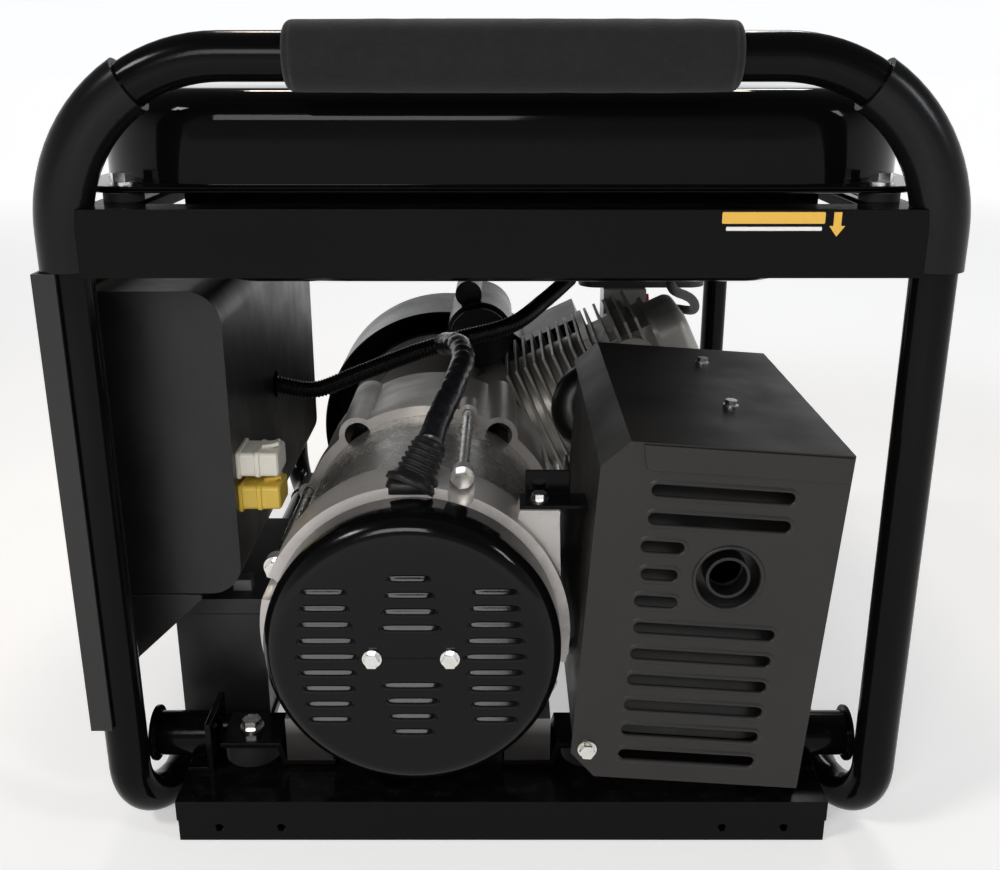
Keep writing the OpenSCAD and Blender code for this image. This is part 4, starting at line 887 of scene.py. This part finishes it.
def weld_bead(name, centre, axis, radius, thickness, start=0, sweep=360):
    """A rippled fillet weld round a level tube, its angles measured from straight down."""
    axis = Vector(axis).normalized()
    side = Vector((0, 0, -1))
    other = axis.cross(side)
    steps = max(12, int(sweep / 2.5))
    path = []
    for i in range(steps + 1):
        a = math.radians(start + sweep * i / steps)
        path.append(Vector(centre) + radius * (math.cos(a) * side + math.sin(a) * other))

    def bead(along, turn):
        return thickness * (1 + 0.18 * math.sin(along * 1800) + 0.1 * noise.noise(
            Vector((along * 300, turn, radius * 40))))

    tube_piece(name, path, bead, FRAME_PAINT, 8, slot="frame_paint")


def frame_welds():
    """Beads where the sleeves meet their plates and where the rails pass the base members."""
    for sx, side in ((-1, "left"), (1, "right")):
        weld_bead("weld_sleeve_" + side, (sx * 0.2052, -0.285, 0.051), (1, 0, 0), 0.0157, 0.0012)
        for sy, end in ((-1, "near"), (1, "far")):
            weld_bead(f"weld_rail_{side}_{end}", (sx * 0.2332, sy * 0.2555, TUBE_R), (0, 1, 0),
                      0.0139, 0.0011, 45, 270)


def tank_fittings():
    """The rolled collar round the tank's filler neck."""
    profile = [(0.0292, 0.0), (0.0312, 0.0), (0.0318, 0.0008), (0.0308, 0.0018), (0.0292, 0.002)]
    turned_piece("filler_collar", profile, (0.0, -0.040, TANK_TOP), (0, 0, 1), TANK_PAINT, 72,
                 slot="tank_paint")


# ---------------------------------------------------------------- studio

def pale_floor():
    """A wide pale floor, faintly lit from within so that it stays pale far from the lamps."""
    reach = 40.0
    mesh = bpy.data.meshes.new("floor")
    mesh.from_pydata([(-reach, -reach, -0.0004), (reach, -reach, -0.0004),
                      (reach, reach, -0.0004), (-reach, reach, -0.0004)], [], [(0, 1, 2, 3)])
    r = Recipe("floor_white", (0.82, 0.82, 0.82), specular=0.1)
    r.roughness(r.noise(3, 2), 0.75, 0.85)
    r.shader.inputs["Emission Color"].default_value = (1, 1, 1, 1)
    reach_out = r.add("ShaderNodeVectorMath", operation="LENGTH")
    r.link(r.place, reach_out.inputs[0])
    r.link(r.spread(reach_out.outputs["Value"], (0.8, 4.0), (0.4, 0.86)),
           r.shader.inputs["Emission Strength"])
    mesh.materials.append(r.material)
    floor = bpy.data.objects.new("floor", mesh)
    bpy.context.scene.collection.objects.link(floor)


def studio_world():
    """Pale near the horizon, darker overhead and darker still behind the camera."""
    world = bpy.data.worlds.new("studio")
    bpy.context.scene.world = world
    world.use_nodes = True
    nodes, links = world.node_tree.nodes, world.node_tree.links
    place = nodes.new("ShaderNodeTexCoord")
    parts = nodes.new("ShaderNodeSeparateXYZ")
    links.new(place.outputs["Generated"], parts.inputs["Vector"])

    def graded(axis, source, target):
        node = nodes.new("ShaderNodeMapRange")
        node.inputs["From Min"].default_value, node.inputs["From Max"].default_value = source
        node.inputs["To Min"].default_value, node.inputs["To Max"].default_value = target
        links.new(parts.outputs[axis], node.inputs["Value"])
        return node.outputs["Result"]

    both = nodes.new("ShaderNodeMath")
    both.operation = "MULTIPLY"
    links.new(graded("Z", (0.06, 0.45), (1.0, 0.12)), both.inputs[0])
    links.new(graded("Y", (-0.6, 0.2), (0.4, 1.0)), both.inputs[1])
    links.new(both.outputs["Value"], nodes["Background"].inputs["Strength"])
    nodes["Background"].inputs["Color"].default_value = (0.98, 0.99, 1.0, 1)


def lamp(name, place, target, size, power, colour=(1, 1, 1)):
    """A rectangular softbox that faces a point."""
    light = bpy.data.lights.new(name, "AREA")
    light.shape = "RECTANGLE"
    light.size, light.size_y = size
    light.energy = power
    light.color = colour
    holder = bpy.data.objects.new(name, light)
    holder.location = place
    holder.rotation_euler = (Vector(target) - Vector(place)).to_track_quat("-Z", "Y").to_euler()
    bpy.context.scene.collection.objects.link(holder)


def studio_lamps():
    """Softboxes round the object and three warm strips above it."""
    middle = (0, 0, 0.25)
    lamp("key", (-1.5, -1.3, 1.9), middle, (0.5, 0.35), 17, (1.0, 0.98, 0.96))
    lamp("fill", (1.7, -1.2, 1.3), middle, (0.3, 0.5), 7, (0.94, 0.97, 1.0))
    lamp("back", (0.4, 1.8, 1.8), middle, (1.0, 0.3), 13, (0.96, 0.98, 1.0))
    lamp("front", (-0.35, -2.0, 1.1), (-0.05, -0.2, 0.2), (0.8, 0.5), 13, (1.0, 0.97, 0.94))
    warm = (1.0, 0.86, 0.74)
    for name, x, width in (("strip_left", -0.34, 0.11), ("strip_middle", -0.01, 0.155),
                           ("strip_right", 0.357, 0.055)):
        lamp(name, (x, 0.45, 1.3), (x, -0.2, 0.4), (width, 0.12), 1.6 * width / 0.1, warm)


def camera():
    """The photographer's place: level with the crossbar, looking down at the near end."""
    view = bpy.data.cameras.new("camera")
    view.lens = 40.25
    view.sensor_width = 36
    view.clip_start = 0.05
    holder = bpy.data.objects.new("camera", view)
    holder.location = (-0.001, -0.9739, 0.505)
    holder.rotation_euler = (math.radians(90 - 18.5), 0, 0)
    bpy.context.scene.collection.objects.link(holder)
    bpy.context.scene.camera = holder


# ---------------------------------------------------------------- the scene

finish_cad_nodes()
soften_edges()
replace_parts(foam_grip("foam_grip_near", -HOOP_Y), "near_grip")
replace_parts(foam_grip("foam_grip_far", HOOP_Y), "far_grip")
louvre_hoods()
cable_boot()
taped_lead()
corrugated_harness()
housing_plug("plug_white", -0.250, 0.246, CONNECTOR_WHITE)
housing_plug("plug_yellow", -0.250, 0.222, CONNECTOR_YELLOW)
fuel_line()
exhaust_elbow()
blank_label()
meters()
shield_lip()
shield_eyelet()
shield_slot_rims()
frame_welds()
tank_fittings()
pale_floor()
studio_world()
studio_lamps()
camera()
bpy.context.scene.view_settings.view_transform = "Standard"
